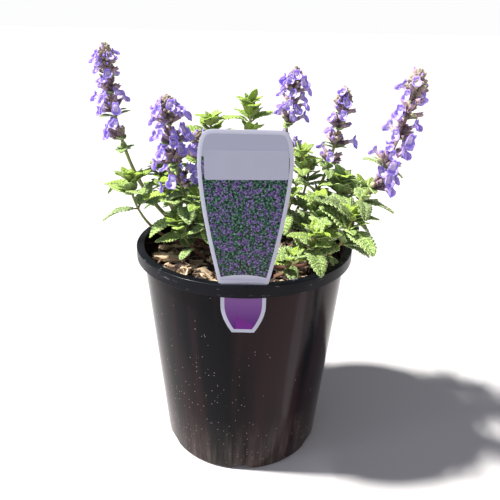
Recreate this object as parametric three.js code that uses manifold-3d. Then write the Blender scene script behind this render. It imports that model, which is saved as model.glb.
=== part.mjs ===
// A flowering catmint plant in its nursery pot, with bark mulch and a push-in plant label.
// Millimetres, +Z up. The origin is the centre of the pot's foot, on the surface it stands on,
// and the label faces -Y.
import * as THREE from "three";
import { mergeVertices } from "three/addons/utils/BufferGeometryUtils.js";
import Module from "manifold-3d";

const wasm = await Module();
wasm.setup();

// ---------------------------------------------------------------- driving dimensions

const CLEARANCE = 0.3; // between pieces that rest on or in each other
const POT = {
  height: 155,
  rimRadius: 75,
  rimInnerRadius: 69.8,
  rimThickness: 1.4,
  rimChamfer: 0.8,
  skirtHeight: 8,
  skirtThickness: 0.9,
  wall: 1.4,
  topRadius: 71.2, // outside of the wall, where it meets the rim
  footRadius: 58.2, // outside of the wall, just above the foot
  footRound: 1.8,
  footRoundHeight: 3,
  footWidth: 7,
  footRise: 5.5, // the floor stands this far above the surface
  floor: 1.5,
  cove: 3, // slope between the floor and the wall, inside
  sides: 32,
};
const NOTCH = { count: 6, width: 21, topWidth: 10, rise: 4.2 };
const DRAIN = { count: 6, radius: 4.5, ring: 41, sides: 6 };
const LABEL = {
  y: -71.8,
  thickness: 0.6,
  centre: 0.5,
  tailBottom: 122.5,
  tailTipWidth: 13.5,
  tailTipHeight: 10, // how far up the tail's rounded tip reaches
  tailBend: 141,
  tailWidth: 27,
  shoulderWidth: 31,
  shoulderRound: 4,
  shoulderStep: 1,
  flankBend: 24, // below the widest place
  widestAt: 224,
  widest: 51.6,
  topWidth: 44,
  top: 244.2,
  topRound: 5,
  topSlope: 1.5,
};
const SOIL = {
  level: 141,
  mound: 3,
  moundRadius: 34,
  mulchStart: 12, // width of the band in which the mulch grows rough
  edgeFade: 4, // width of the level band along the wall
  sides: 20,
  rings: [30, 46, 60],
  wallGap: 0.25, // more than the clearance, for the flats of the pot's wall
};
const STEM = { buried: 9, lift: 2, footRadius: 1.35, tipRadius: 0.65, sides: 4, steps: 5 };
// The two middle points of a stem's curve, as shares of its reach and height, and how far a full
// sprawl moves each outwards and down.
const BOW = [
  { reach: 0.3, height: 0.36, out: 0.25, down: 0.2 },
  { reach: 0.72, height: 0.66, out: 0.22, down: 0.22 },
];
const LEAF = {
  ribHalf: 0.55, // half the blade's thickness at its midrib
  petiole: 0.14, // of the blade's length
  petioleHalf: 0.55,
  width: 0.7, // of the blade's length
  fold: 17, // degrees that each half is folded up from flat
  baseFullness: 0.34, // exponents of the blade's outline
  tipFullness: 0.72,
  notch: 0.84, // width left at the foot of a tooth
  faceUp: 0.75, // how far a blade turns its upper face to the sky
  sunk: 0.4, // of the stem's radius, how far the petiole starts behind its middle
  sway: { turn: 10, spread: 8, curl: 12, length: 0.1 }, // most that a leaf differs from its rule
};
const STEM_LEAF = { spread: 70, curl: 40, teeth: 3 }; // leaves below a spike
const BRACT = { spread: 74, curl: 30, teeth: 2, firstRank: 51 };
const SWELL = 0.45; // a leaf keeps this much clear of everything else
const FLORET = {
  calyx: 6,
  calyxHalf: 1.25,
  tube: 3.6,
  throatHalf: 1.5,
  lobe: 3.5,
  lip: 4.9,
  lipHalf: 2.4,
  lipReach: 2,
  dome: 0.9,
  lobeReach: 1.2,
  lobeUp: 0.8, // of the lobe
  lobeOut: 0.85,
  middle: -0.2,
  bud: 5.6,
  budWidest: 0.62, // of the bud's length
  lowest: 1.18, // calyx length in the lowest and the topmost whorl
  topmost: 0.62,
};
const WHORL = {
  tier: 0.009, // half the gap between its two tiers, as a share of the stem
  placeSway: 0.003,
  last: 0.99, // no floret is rooted higher than this
  stagger: 0.5, // every other whorl is turned by this share of a floret's place
  turnSway: 0.2,
  spread: 60, // degrees between an open floret and the stem
  budSpread: 46,
  tierSpread: 10, // the lower tier stands out by this much more, and the upper one by less
  spreadSway: 7,
  closeFrom: 0.9, // from here up the florets close in on the tip
  close: 14,
  proud: 0.35, // of the stem's radius, how far from its middle a floret is rooted
  sizeSway: 0.08,
  leastBud: 0.8,
};

// Leaf pairs of a leafy shoot, from its tip down: distance below the tip, size, and in degrees
// the angle to the stem and the curl along the blade.
const SHOOT_PAIRS = [
  { below: 0, size: 0.45, spread: 26, curl: 10, teeth: 2 },
  { below: 4, size: 0.75, spread: 50, curl: 22, teeth: 3 },
  { below: 11, size: 1.0, spread: 66, curl: 36, teeth: 4 },
  { below: 21, size: 0.95, spread: 78, curl: 44, teeth: 3 },
  { below: 33, size: 0.85, spread: 86, curl: 46, teeth: 3 },
];
// Ways to bend a leaf clear, tried in turn: extra spread and turn in degrees, and size.
const BENDS = [
  [0, 0, 1],
  [-14, 0, 1],
  [14, 0, 1],
  [0, 20, 1],
  [0, -20, 1],
  [-26, 14, 1],
  [-26, -14, 1],
  [26, 0, 0.9],
  [0, 34, 0.85],
  [0, -34, 0.85],
  [-34, 0, 0.75],
  [8, 26, 0.65],
  [8, -26, 0.65],
  [-20, 0, 0.55],
];

// Flowering stems: root on the soil, tip of the spike, how far the stem sprawls before it rises,
// where the spike begins, leaf pairs and bract pairs [place, length], and whorls [place, florets,
// buds, and the arc in degrees that they fill on the outer side where it isn't the whole round].
const FLOWER_STEMS = {
  a: {
    root: [-27, 22],
    tip: [-94, 22, 280],
    sprawl: 1.2,
    spikeFrom: 0.68,
    turn: 8,
    leaves: [[0.4, 21], [0.53, 22], [0.665, 17]],
    whorls: [[0.725, 5, 1, 230], [0.825, 7, 1, 300], [0.885, 6, 1], [0.935, 5, 2], [0.975, 1, 7]],
    bracts: [[0.795, 11]],
  },
  b: {
    root: [-19, 15],
    tip: [-48, -20, 252],
    sprawl: 0.95,
    spikeFrom: 0.59,
    turn: 40,
    leaves: [[0.34, 23], [0.48, 22], [0.57, 14]],
    whorls: [[0.635, 5, 1], [0.76, 7, 1], [0.845, 6, 1], [0.925, 6, 1], [0.97, 1, 7]],
    bracts: [[0.73, 9]],
  },
  c: {
    root: [0, 27],
    tip: [33, 32, 266],
    sprawl: 0.6,
    spikeFrom: 0.64,
    turn: 70,
    leaves: [[0.36, 23], [0.52, 22], [0.63, 15]],
    whorls: [[0.66, 4, 1], [0.79, 7, 1], [0.86, 7, 1], [0.925, 6, 1], [0.97, 2, 6]],
    bracts: [[0.765, 9]],
  },
  d: {
    root: [15, 20],
    tip: [64, 14, 256],
    sprawl: 1.05,
    spikeFrom: 0.68,
    turn: 15,
    leaves: [[0.38, 22], [0.52, 22], [0.665, 16]],
    whorls: [[0.715, 6, 1], [0.8, 5, 2], [0.87, 5, 2], [0.93, 5, 2], [0.97, 1, 7]],
    bracts: [[0.775, 8]],
  },
  e: {
    root: [27, -7],
    tip: [95, -43, 271],
    sprawl: 0.8,
    spikeFrom: 0.53,
    turn: 25,
    leaves: [[0.3, 23], [0.42, 22], [0.515, 16]],
    whorls: [[0.6, 5, 1, 200], [0.71, 8, 1], [0.815, 5, 2], [0.885, 5, 1], [0.935, 5, 2], [0.975, 1, 7]],
    bracts: [[0.685, 13]],
  },
  f: {
    root: [-11, 25],
    tip: [-35, 30, 222],
    sprawl: 0.8,
    spikeFrom: 0.66,
    turn: 60,
    leaves: [[0.42, 21], [0.64, 16]],
    whorls: [[0.72, 5, 1], [0.85, 5, 1], [0.96, 2, 5]],
    bracts: [],
  },
};

// Leafy shoots: root on the soil, tip, sprawl, number of leaf pairs, length of the largest leaf,
// and the turn of the first pair in degrees.
const LEAFY_SHOOTS = {
  front_right: { root: [20, -22], tip: [43, -48, 178], sprawl: 0.9, pairs: 4, leaf: 23, turn: 58 },
  low_right: { root: [30, -20], tip: [67, -38, 187], sprawl: 1.0, pairs: 4, leaf: 24, turn: 50 },
  edge_right: { root: [21, -34], tip: [30, -50, 163], sprawl: 0.6, pairs: 2, leaf: 22, turn: 80 },
  mid_right: { root: [23, -11], tip: [49, -22, 191], sprawl: 0.8, pairs: 4, leaf: 24, turn: 5 },
  far_right: { root: [34, 4], tip: [82, 0, 194], sprawl: 0.75, pairs: 3, leaf: 22, turn: 60 },
  right: { root: [30, 12], tip: [66, 6, 200], sprawl: 0.9, pairs: 4, leaf: 23, turn: 20 },
  tall_right: { root: [21, 28], tip: [39, 12, 215], sprawl: 0.5, pairs: 3, leaf: 19, turn: 35 },
  middle_right: { root: [8, 6], tip: [22, -20, 194], sprawl: 0.6, pairs: 4, leaf: 24, turn: 75 },
  far_left: { root: [-33, 10], tip: [-79, 0, 198], sprawl: 1.1, pairs: 3, leaf: 22, turn: 30 },
  left: { root: [-24, 3], tip: [-52, -8, 194], sprawl: 0.8, pairs: 4, leaf: 23, turn: 0 },
  low_left: { root: [-28, -8], tip: [-44, -14, 172], sprawl: 0.7, pairs: 3, leaf: 21, turn: 65 },
  middle_left: { root: [-10, 4], tip: [-29, -22, 192], sprawl: 0.7, pairs: 4, leaf: 23, turn: 20 },
  back_left: { root: [-33, 28], tip: [-64, 34, 196], sprawl: 0.9, pairs: 4, leaf: 23, turn: 50 },
  back_tall: { root: [6, 40], tip: [2, 44, 243], sprawl: 0.4, pairs: 4, leaf: 23, turn: -35 },
  back_mid: { root: [-7, 38], tip: [-27, 42, 231], sprawl: 0.5, pairs: 4, leaf: 23, turn: -68 },
  rear_left: { root: [-20, 40], tip: [-36, 53, 200], sprawl: 0.8, pairs: 3, leaf: 23, turn: 15 },
  rear_right: { root: [26, 38], tip: [48, 50, 196], sprawl: 0.8, pairs: 3, leaf: 23, turn: 55 },
  rear_far_left: { root: [-35, 37], tip: [-62, 51, 184], sprawl: 0.5, pairs: 3, leaf: 22, turn: 20 },
  rear_far_right: { root: [38, 26], tip: [76, 38, 182], sprawl: 0.6, pairs: 3, leaf: 22, turn: 30 },
  rear: { root: [4, 50], tip: [6, 55, 190], sprawl: 0.8, pairs: 3, leaf: 22, turn: 45 },
};

// Large bark chips: centre on the soil, length, width, thickness, turn and tilt in degrees.
const BARK_CHIPS = [
  { at: [-52, -8], size: [19, 9, 3.2], turn: 8, tilt: 8 },
  { at: [-38, -26], size: [17, 6, 3.6], turn: 78, tilt: 16 },
  { at: [-57, 10], size: [13, 5, 3], turn: 62, tilt: 20 },
  { at: [-22, -46], size: [14, 7, 3], turn: 30, tilt: 8 },
  { at: [6, -55], size: [12, 6, 3], turn: -14, tilt: 6 },
  { at: [50, -10], size: [15, 7, 3], turn: 70, tilt: 8 },
  { at: [-27, 49], size: [15, 8, 3], turn: 28, tilt: 6 },
  { at: [40, 42], size: [15, 8, 3], turn: -45, tilt: 5 },
];
const CRUMBS = {
  count: 9,
  inner: 40,
  outer: 65,
  size: [5, 11],
  width: 0.5, // of the crumb's length
  thickness: 2.2,
  proud: 0.5,
  tilt: 18,
};
const FLAKE = { raggedEnds: 0.1, raggedSides: 0.3, raggedFaces: 0.12 }; // shares of its size
const SEED = 2166136261;

const MATERIALS = {
  pot: new THREE.MeshStandardMaterial({ color: 0x17171b, roughness: 0.28 }),
  label: new THREE.MeshStandardMaterial({ color: 0xdcdae8, roughness: 0.4 }),
  soil: new THREE.MeshStandardMaterial({ color: 0x3b2a20, roughness: 0.95 }),
  bark: new THREE.MeshStandardMaterial({ color: 0xb08a6c, roughness: 0.9 }),
  leaf: new THREE.MeshStandardMaterial({ color: 0x7fa05a, roughness: 0.75 }),
  flower: new THREE.MeshStandardMaterial({ color: 0x8f7ad6, roughness: 0.6 }),
};

// ---------------------------------------------------------------- helpers

const radians = THREE.MathUtils.degToRad;
const vector = (x, y, z) => new THREE.Vector3(x, y, z);
const UP = vector(0, 0, 1);

// A draw from 0 to 1 that depends only on the whole numbers given.
function draw(...keys) {
  let h = SEED;
  for (const key of keys) {
    h = Math.imul(h ^ key, 0x9e3779b1);
    h ^= h >>> 15;
  }
  h = Math.imul(h ^ (h >>> 13), 0x85ebca6b);
  h ^= h >>> 16;
  return (h >>> 0) / 4294967296;
}

// A draw from -1 to 1.
function sway(...keys) {
  return 2 * draw(...keys) - 1;
}

// A closed geometry as a solid that can be joined and cut.
function solidOf(geometry) {
  const bare = new THREE.BufferGeometry();
  bare.setAttribute("position", geometry.getAttribute("position"));
  bare.setIndex(geometry.getIndex());
  const merged = mergeVertices(bare, 1e-4);
  return new wasm.Manifold(
    new wasm.Mesh({
      numProp: 3,
      vertProperties: merged.getAttribute("position").array,
      triVerts: new Uint32Array(merged.getIndex().array),
    }),
  );
}

// A solid as a named mesh of the group.
function meshOf(name, solid, material) {
  const { vertProperties, triVerts, numProp, numVert } = solid.getMesh();
  const positions = new Float32Array(numVert * 3);
  for (let i = 0; i < numVert; i++) {
    positions.set(vertProperties.subarray(i * numProp, i * numProp + 3), i * 3);
  }
  const geometry = new THREE.BufferGeometry();
  geometry.setAttribute("position", new THREE.BufferAttribute(positions, 3));
  geometry.setIndex(new THREE.BufferAttribute(triVerts, 1));
  geometry.computeVertexNormals();
  const mesh = new THREE.Mesh(geometry, material);
  mesh.name = name;
  return mesh;
}

// A geometry from points and triangles of their numbers.
function geometryOf(points, triangles) {
  const geometry = new THREE.BufferGeometry().setFromPoints(points);
  geometry.setIndex(triangles.flat());
  return geometry;
}

// A tube through rings of points with one number of points each, closed at both ends. A ring of
// one point is a tip.
function tubeOf(rings) {
  const points = rings.flat();
  const triangles = [];
  let start = 0;
  rings.forEach((ring, r) => {
    const next = rings[r + 1];
    if (!next) return;
    const n = Math.max(ring.length, next.length);
    for (let i = 0; i < n; i++) {
      const j = (i + 1) % n;
      const [a, b] = ring.length === 1 ? [start, start] : [start + i, start + j];
      const top = start + ring.length;
      const [c, d] = next.length === 1 ? [top, top] : [top + i, top + j];
      if (a !== b) triangles.push([a, b, c]);
      if (c !== d) triangles.push([b, d, c]);
    }
    start += ring.length;
  });
  const cap = (first, n, turned) => {
    for (let i = 1; i < n - 1; i++) {
      triangles.push(turned ? [first, first + i + 1, first + i] : [first, first + i, first + i + 1]);
    }
  };
  cap(0, rings[0].length, true);
  cap(start, rings.at(-1).length, false);
  return geometryOf(points, triangles);
}

// ---------------------------------------------------------------- pot and label

function potSolid() {
  const p = POT;
  const inner = (z) => {
    const share = (z - p.footRoundHeight) / (p.height - p.footRoundHeight);
    return p.footRadius + (p.topRadius - p.footRadius) * share - p.wall;
  };
  const underRim = p.height - p.rimThickness;
  const skirtBottom = p.height - p.skirtHeight;
  const skirtInner = p.rimRadius - p.skirtThickness;
  const footInner = p.footRadius - p.footRound - p.footWidth;
  const floorTop = p.footRise + p.floor;
  const profile = [
    [0, p.footRise],
    [footInner, p.footRise],
    [footInner, 0],
    [p.footRadius - p.footRound, 0],
    [p.footRadius, p.footRoundHeight],
    [p.topRadius, underRim],
    [skirtInner, underRim],
    [skirtInner, skirtBottom],
    [p.rimRadius, skirtBottom],
    [p.rimRadius, p.height - p.rimChamfer],
    [p.rimRadius - p.rimChamfer, p.height],
    [p.rimInnerRadius, p.height],
    [inner(floorTop + p.cove), floorTop + p.cove],
    [inner(floorTop) - p.cove, floorTop],
    [0, floorTop],
  ];
  const lathe = new THREE.LatheGeometry(
    profile.map(([r, z]) => new THREE.Vector2(r, z)),
    p.sides,
  ).rotateX(Math.PI / 2);
  let pot = solidOf(lathe);

  const slot = new THREE.BoxGeometry(
    LABEL.tailWidth + 2 * CLEARANCE,
    LABEL.thickness + 2 * CLEARANCE,
    4 * p.rimThickness,
  ).translate(LABEL.centre, LABEL.y, p.height);
  pot = pot.subtract(solidOf(slot));

  const notchShape = new THREE.Shape([
    new THREE.Vector2(-NOTCH.width / 2, -1),
    new THREE.Vector2(NOTCH.width / 2, -1),
    new THREE.Vector2(NOTCH.topWidth / 2, NOTCH.rise),
    new THREE.Vector2(-NOTCH.topWidth / 2, NOTCH.rise),
  ]);
  for (let i = 0; i < NOTCH.count; i++) {
    const notch = new THREE.ExtrudeGeometry(notchShape, { depth: 2 * p.footWidth, bevelEnabled: false })
      .rotateX(Math.PI / 2)
      .translate(0, -footInner + 2, 0)
      .rotateZ((2 * Math.PI * i) / NOTCH.count);
    pot = pot.subtract(solidOf(notch));
  }
  for (let i = 0; i < DRAIN.count; i++) {
    const drain = new THREE.CylinderGeometry(DRAIN.radius, DRAIN.radius, 4 * p.floor, DRAIN.sides)
      .rotateX(Math.PI / 2)
      .translate(0, -DRAIN.ring, floorTop)
      .rotateZ((2 * Math.PI * (i + 0.5)) / DRAIN.count);
    pot = pot.subtract(solidOf(drain));
  }
  return pot;
}

function labelSolid() {
  const l = LABEL;
  const shoulder = POT.height + CLEARANCE;
  const half = (width) => width / 2;
  const shape = new THREE.Shape();
  shape.moveTo(-half(l.tailTipWidth), l.tailBottom);
  shape.lineTo(half(l.tailTipWidth), l.tailBottom);
  shape.quadraticCurveTo(half(l.tailWidth), l.tailBottom + l.tailTipHeight, half(l.tailWidth), l.tailBend);
  shape.lineTo(half(l.tailWidth), shoulder);
  shape.lineTo(half(l.shoulderWidth) - l.shoulderStep, shoulder);
  shape.lineTo(half(l.shoulderWidth), shoulder + l.shoulderRound);
  shape.quadraticCurveTo(half(l.widest) - 1, l.widestAt - l.flankBend, half(l.widest), l.widestAt);
  shape.quadraticCurveTo(half(l.widest), l.top - l.topRound, half(l.topWidth), l.top - l.topSlope);
  shape.quadraticCurveTo(half(l.topWidth) - 2, l.top, half(l.topWidth) - l.topRound, l.top);
  const right = shape.getPoints(4);
  const outline = [...right, ...right.slice(2).reverse().map((p) => new THREE.Vector2(-p.x, p.y))];
  const plate = new THREE.ExtrudeGeometry(new THREE.Shape(outline), {
    depth: l.thickness,
    bevelEnabled: false,
  })
    .rotateX(Math.PI / 2)
    .translate(l.centre, l.y + l.thickness / 2, 0);
  return solidOf(plate);
}

// ---------------------------------------------------------------- soil and bark

// Height of the potting mix at a place: a low mound at the crown and uneven mulch round it.
function soilHeight(x, y) {
  const r = Math.hypot(x, y);
  const mound = SOIL.mound * Math.max(0, 1 - (r / SOIL.moundRadius) ** 2);
  const rough = Math.min(1, Math.max(0, (r - SOIL.moundRadius) / SOIL.mulchStart));
  const coarse = 1.1 * Math.sin(0.23 * x + 1.3) * Math.cos(0.19 * y - 0.4);
  const fine = 0.7 * Math.sin(0.37 * x - 0.31 * y);
  return SOIL.level + mound + rough * (coarse + fine);
}

// A split flake of bark: a box with its corners moved, tapered at one end.
function flake([length, width, thickness], key, swell = 0) {
  const box = new THREE.BoxGeometry(length + 2 * swell, width + 2 * swell, thickness + 2 * swell);
  const position = box.getAttribute("position");
  for (let i = 0; i < position.count; i++) {
    const corner = [0, 1, 2].map((k) => (position.getComponent(i, k) > 0 ? 1 : 0));
    const number = corner[0] + 2 * corner[1] + 4 * corner[2];
    position.setXYZ(
      i,
      position.getX(i) + FLAKE.raggedEnds * length * sway(key, number, 1),
      position.getY(i) * (1 - FLAKE.raggedSides * draw(key, number, 2)),
      position.getZ(i) + FLAKE.raggedFaces * thickness * sway(key, number, 3),
    );
  }
  return box;
}

function chipGeometry(chip, key, swell = 0) {
  const [x, y] = chip.at;
  return flake(chip.size, key, swell)
    .rotateY(radians(chip.tilt))
    .rotateZ(radians(chip.turn))
    .translate(x, y, soilHeight(x, y) + chip.size[2] / 2);
}

function soilSolid(lines) {
  const floorTop = POT.footRise + POT.floor + CLEARANCE;
  const wallAt = (z) => {
    const share = (z - POT.footRoundHeight) / (POT.height - POT.footRoundHeight);
    return POT.footRadius + (POT.topRadius - POT.footRadius) * share - POT.wall - CLEARANCE - SOIL.wallGap;
  };
  const cove = POT.cove + 0.5;
  const edge = wallAt(SOIL.level);
  const profile = [
    [0, floorTop],
    [wallAt(floorTop) - cove, floorTop],
    [wallAt(floorTop + cove), floorTop + cove],
    [edge, SOIL.level],
    ...SOIL.rings.toReversed().map((r) => [r, SOIL.level]),
    [0, SOIL.level],
  ];
  const body = new THREE.LatheGeometry(
    profile.map(([r, z]) => new THREE.Vector2(r, z)),
    SOIL.sides,
  ).rotateX(Math.PI / 2);
  const position = body.getAttribute("position");
  for (let i = 0; i < position.count; i++) {
    const [x, y, z] = [position.getX(i), position.getY(i), position.getZ(i)];
    const fade = Math.min(1, (edge - Math.hypot(x, y)) / SOIL.edgeFade);
    if (z > SOIL.level - 1) position.setZ(i, SOIL.level + fade * (soilHeight(x, y) - SOIL.level));
  }
  let soil = solidOf(body);
  for (let i = 0; i < CRUMBS.count; i++) {
    const turn = (2 * Math.PI * (i + 0.4 * sway(i, 11))) / CRUMBS.count;
    const ring = CRUMBS.inner + (CRUMBS.outer - CRUMBS.inner) * draw(i, 12);
    const length = CRUMBS.size[0] + (CRUMBS.size[1] - CRUMBS.size[0]) * draw(i, 13);
    const reach = Math.min(ring, edge - 0.5 * length - 1);
    const [x, y] = [reach * Math.cos(turn), reach * Math.sin(turn)];
    const crumb = flake([length, CRUMBS.width * length, CRUMBS.thickness], 100 + i)
      .rotateY(radians(CRUMBS.tilt * sway(i, 14)))
      .rotateZ(2 * Math.PI * draw(i, 15))
      .translate(x, y, soilHeight(x, y) + CRUMBS.proud);
    soil = soil.add(solidOf(crumb));
  }
  BARK_CHIPS.forEach((chip, i) => {
    soil = soil.subtract(solidOf(chipGeometry(chip, i, CLEARANCE)));
  });
  for (const line of lines) soil = soil.subtract(solidOf(stemHole(line)));
  return soil.decompose().sort((a, b) => b.volume() - a.volume())[0];
}

// ---------------------------------------------------------------- stems

// The line of a stem: it leaves the soil at its root, sprawls outwards and then rises to its tip.
function stemLine({ root, tip, sprawl }) {
  const foot = vector(root[0], root[1], soilHeight(...root) + STEM.lift);
  const end = vector(...tip);
  const out = vector(end.x - foot.x, end.y - foot.y, 0);
  const rise = end.z - foot.z;
  const bows = BOW.map((bow) =>
    foot
      .clone()
      .addScaledVector(out, bow.reach + bow.out * sprawl)
      .addScaledVector(UP, (bow.height - bow.down * sprawl) * rise),
  );
  const curve = new THREE.CubicBezierCurve3(foot, ...bows, end);
  const across = vector(-out.y, out.x, 0).normalize();
  return { curve, across };
}

// Place, direction and the two cross directions of a stem at a share of its length.
function stemFrame({ curve, across }, at) {
  const point = curve.getPoint(at);
  const along = curve.getTangent(at);
  const inward = along.clone().cross(across).normalize();
  return { point, along, across, inward };
}

function stemRadius(at) {
  return STEM.footRadius + (STEM.tipRadius - STEM.footRadius) * at;
}

// The level frame of a stem's straight buried foot, at a height over where the curve begins.
function buriedFrame(line, z) {
  const foot = stemFrame(line, 0);
  const point = foot.point.clone().addScaledVector(UP, z);
  return { ...foot, point, inward: foot.across.clone().cross(UP).negate() };
}

// The corners of a stem's section.
function ringAt({ point, across, inward }, radius) {
  return Array.from({ length: STEM.sides }, (_, i) => {
    const turn = (2 * Math.PI * (i + 0.5)) / STEM.sides;
    return point
      .clone()
      .addScaledVector(inward, radius * Math.cos(turn))
      .addScaledVector(across, radius * Math.sin(turn));
  });
}

// A square stem from one share of its line to another. One that begins at 0 has its buried foot.
function stemGeometry(line, from, to) {
  const rings = from === 0 ? [ringAt(buriedFrame(line, -STEM.buried), STEM.footRadius)] : [];
  for (let i = 0; i <= STEM.steps; i++) {
    const at = from + ((to - from) * i) / STEM.steps;
    rings.push(ringAt(stemFrame(line, at), stemRadius(at)));
  }
  return tubeOf(rings.map((ring) => ring.toReversed()));
}

// The plain hole that a stem's buried foot stands in.
function stemHole(line) {
  const radius = STEM.footRadius + Math.SQRT2 * CLEARANCE;
  const rings = [-STEM.buried - CLEARANCE, 1].map((z) => ringAt(buriedFrame(line, z), radius));
  return tubeOf(rings.map((ring) => ring.toReversed()));
}

// ---------------------------------------------------------------- leaves

// Half the width of a blade at a share of its length, as a share of its greatest half width.
function bladeOutline(u) {
  const { baseFullness: a, tipFullness: b } = LEAF;
  const peak = a / (a + b);
  return (u ** a * (1 - u) ** b) / (peak ** a * (1 - peak) ** b);
}

// The axes of a leaf or floret: its root, the way it points, and its upper face.
function leafAxes(frame, { turn, spread, setBack }) {
  const side = frame.across
    .clone()
    .multiplyScalar(Math.cos(turn))
    .addScaledVector(frame.inward, Math.sin(turn));
  const forward = frame.along
    .clone()
    .multiplyScalar(Math.cos(spread))
    .addScaledVector(side, Math.sin(spread))
    .normalize();
  const face = frame.along
    .clone()
    .addScaledVector(UP, LEAF.faceUp)
    .addScaledVector(forward, -forward.dot(frame.along) - LEAF.faceUp * forward.z)
    .normalize();
  const origin = frame.point.clone().addScaledVector(forward, -setBack);
  return { origin, forward, face, sideways: forward.clone().cross(face) };
}

// A point of the midrib, with the upper face's direction there. The blade curls evenly.
function ribAt({ origin, forward, face }, { length, curl }, u) {
  const petiole = LEAF.petiole * length;
  const radius = length / curl;
  const angle = curl * u;
  return {
    point: origin
      .clone()
      .addScaledVector(forward, petiole + radius * Math.sin(angle))
      .addScaledVector(face, -radius * (1 - Math.cos(angle))),
    face: face.clone().multiplyScalar(Math.cos(angle)).addScaledVector(forward, Math.sin(angle)),
  };
}

// A toothed blade on its petiole: a folded, curled blade, thick at the rib and sharp at the edge.
function leafGeometry(axes, leaf, swell = 0) {
  const { length, teeth } = leaf;
  const halfWidth = 0.5 * LEAF.width * length;
  const rib = LEAF.ribHalf + swell;
  const side = LEAF.petioleHalf + swell;
  const edgeAt = (station, hand) => {
    const u = station / (2 * teeth);
    const { point, face } = ribAt(axes, leaf, u);
    const reach = halfWidth * bladeOutline(u) * (station % 2 ? 1 : LEAF.notch) + swell;
    return point
      .clone()
      .addScaledVector(axes.sideways, hand * reach * Math.cos(radians(LEAF.fold)))
      .addScaledVector(face, reach * Math.sin(radians(LEAF.fold)));
  };
  const base = ribAt(axes, leaf, 0);
  const middle = ribAt(axes, leaf, 0.5);
  const tip = ribAt(axes, leaf, 1).point.addScaledVector(axes.forward, swell);
  const points = [
    axes.origin,
    base.point.clone().addScaledVector(base.face, rib),
    base.point.clone().addScaledVector(axes.sideways, side),
    base.point.clone().addScaledVector(base.face, -rib),
    base.point.clone().addScaledVector(axes.sideways, -side),
    middle.point.clone().addScaledVector(middle.face, rib),
    middle.point.clone().addScaledVector(middle.face, -rib),
    tip,
  ];
  const [root, top, right, under, left, middleTop, middleUnder, tipNumber] = points.keys();
  const triangles = [
    [root, right, top],
    [root, under, right],
    [root, left, under],
    [root, top, left],
  ];
  for (const hand of [1, -1]) {
    const edge = [hand === 1 ? right : left];
    for (let station = 1; station < 2 * teeth; station++) edge.push(points.push(edgeAt(station, hand)) - 1);
    edge.push(tipNumber);
    const half = [];
    for (let k = 0; k < edge.length - 1; k++) {
      const [upper, lower] = k < teeth ? [top, under] : [middleTop, middleUnder];
      half.push([upper, edge[k], edge[k + 1]], [lower, edge[k + 1], edge[k]]);
    }
    half.push([top, edge[teeth], middleTop], [under, middleUnder, edge[teeth]]);
    triangles.push(...half.map(([a, b, c]) => (hand === 1 ? [a, b, c] : [a, c, b])));
  }
  return geometryOf(points, triangles);
}

// ---------------------------------------------------------------- flowers

// A floret: a conical calyx, a tube that widens, and a face of two upper lobes and a long, broad
// lower lip.
const FLORET_FACES = [
  [[0, 2, 1], [0, 3, 2], [0, 1, 3]], // foot of the calyx
  [[1, 2, 4], [2, 5, 4], [2, 3, 5], [3, 6, 5], [3, 1, 6], [1, 4, 6]], // tube
  [[4, 5, 7], [11, 4, 7], [11, 7, 5]], // one upper lobe
  [[6, 4, 8], [11, 6, 8], [11, 8, 4]], // the other
  [[5, 6, 10], [5, 10, 9], [11, 5, 9], [11, 9, 10], [11, 10, 6]], // lower lip
].flat();

function floretGeometry({ origin, forward, face, sideways }, scale, reach) {
  const at = (along, up, across) =>
    origin
      .clone()
      .addScaledVector(forward, along * scale)
      .addScaledVector(face, up * scale)
      .addScaledVector(sideways, across * scale);
  const { calyx, calyxHalf, tube, throatHalf, lobe, lip, lipHalf, lipReach, dome } = FLORET;
  const { lobeReach, lobeUp, lobeOut, middle } = FLORET;
  const ring = (along, half) => [
    at(along, half, 0),
    at(along, -0.5 * half, 0.87 * half),
    at(along, -0.5 * half, -0.87 * half),
  ];
  const mouth = reach * calyx + tube;
  const points = [
    origin,
    ...ring(reach * calyx, calyxHalf),
    ...ring(mouth, throatHalf),
    at(mouth + lobeReach, lobeUp * lobe, lobeOut * lobe),
    at(mouth + lobeReach, lobeUp * lobe, -lobeOut * lobe),
    at(mouth + lipReach, -lip, lipHalf),
    at(mouth + lipReach, -lip, -lipHalf),
    at(mouth + dome, middle, 0),
  ];
  return geometryOf(points, FLORET_FACES);
}

// A closed bud: a spindle, widest above its middle.
function budGeometry({ origin, forward, face, sideways }, scale) {
  const length = FLORET.bud * scale;
  const ring = [0, 1, 2].map((i) => {
    const turn = (2 * Math.PI * i) / 3;
    return origin
      .clone()
      .addScaledVector(forward, FLORET.budWidest * length)
      .addScaledVector(sideways, FLORET.calyxHalf * scale * Math.cos(turn))
      .addScaledVector(face, -FLORET.calyxHalf * scale * Math.sin(turn));
  });
  return tubeOf([[origin], ring, [origin.clone().addScaledVector(forward, length)]]);
}

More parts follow.
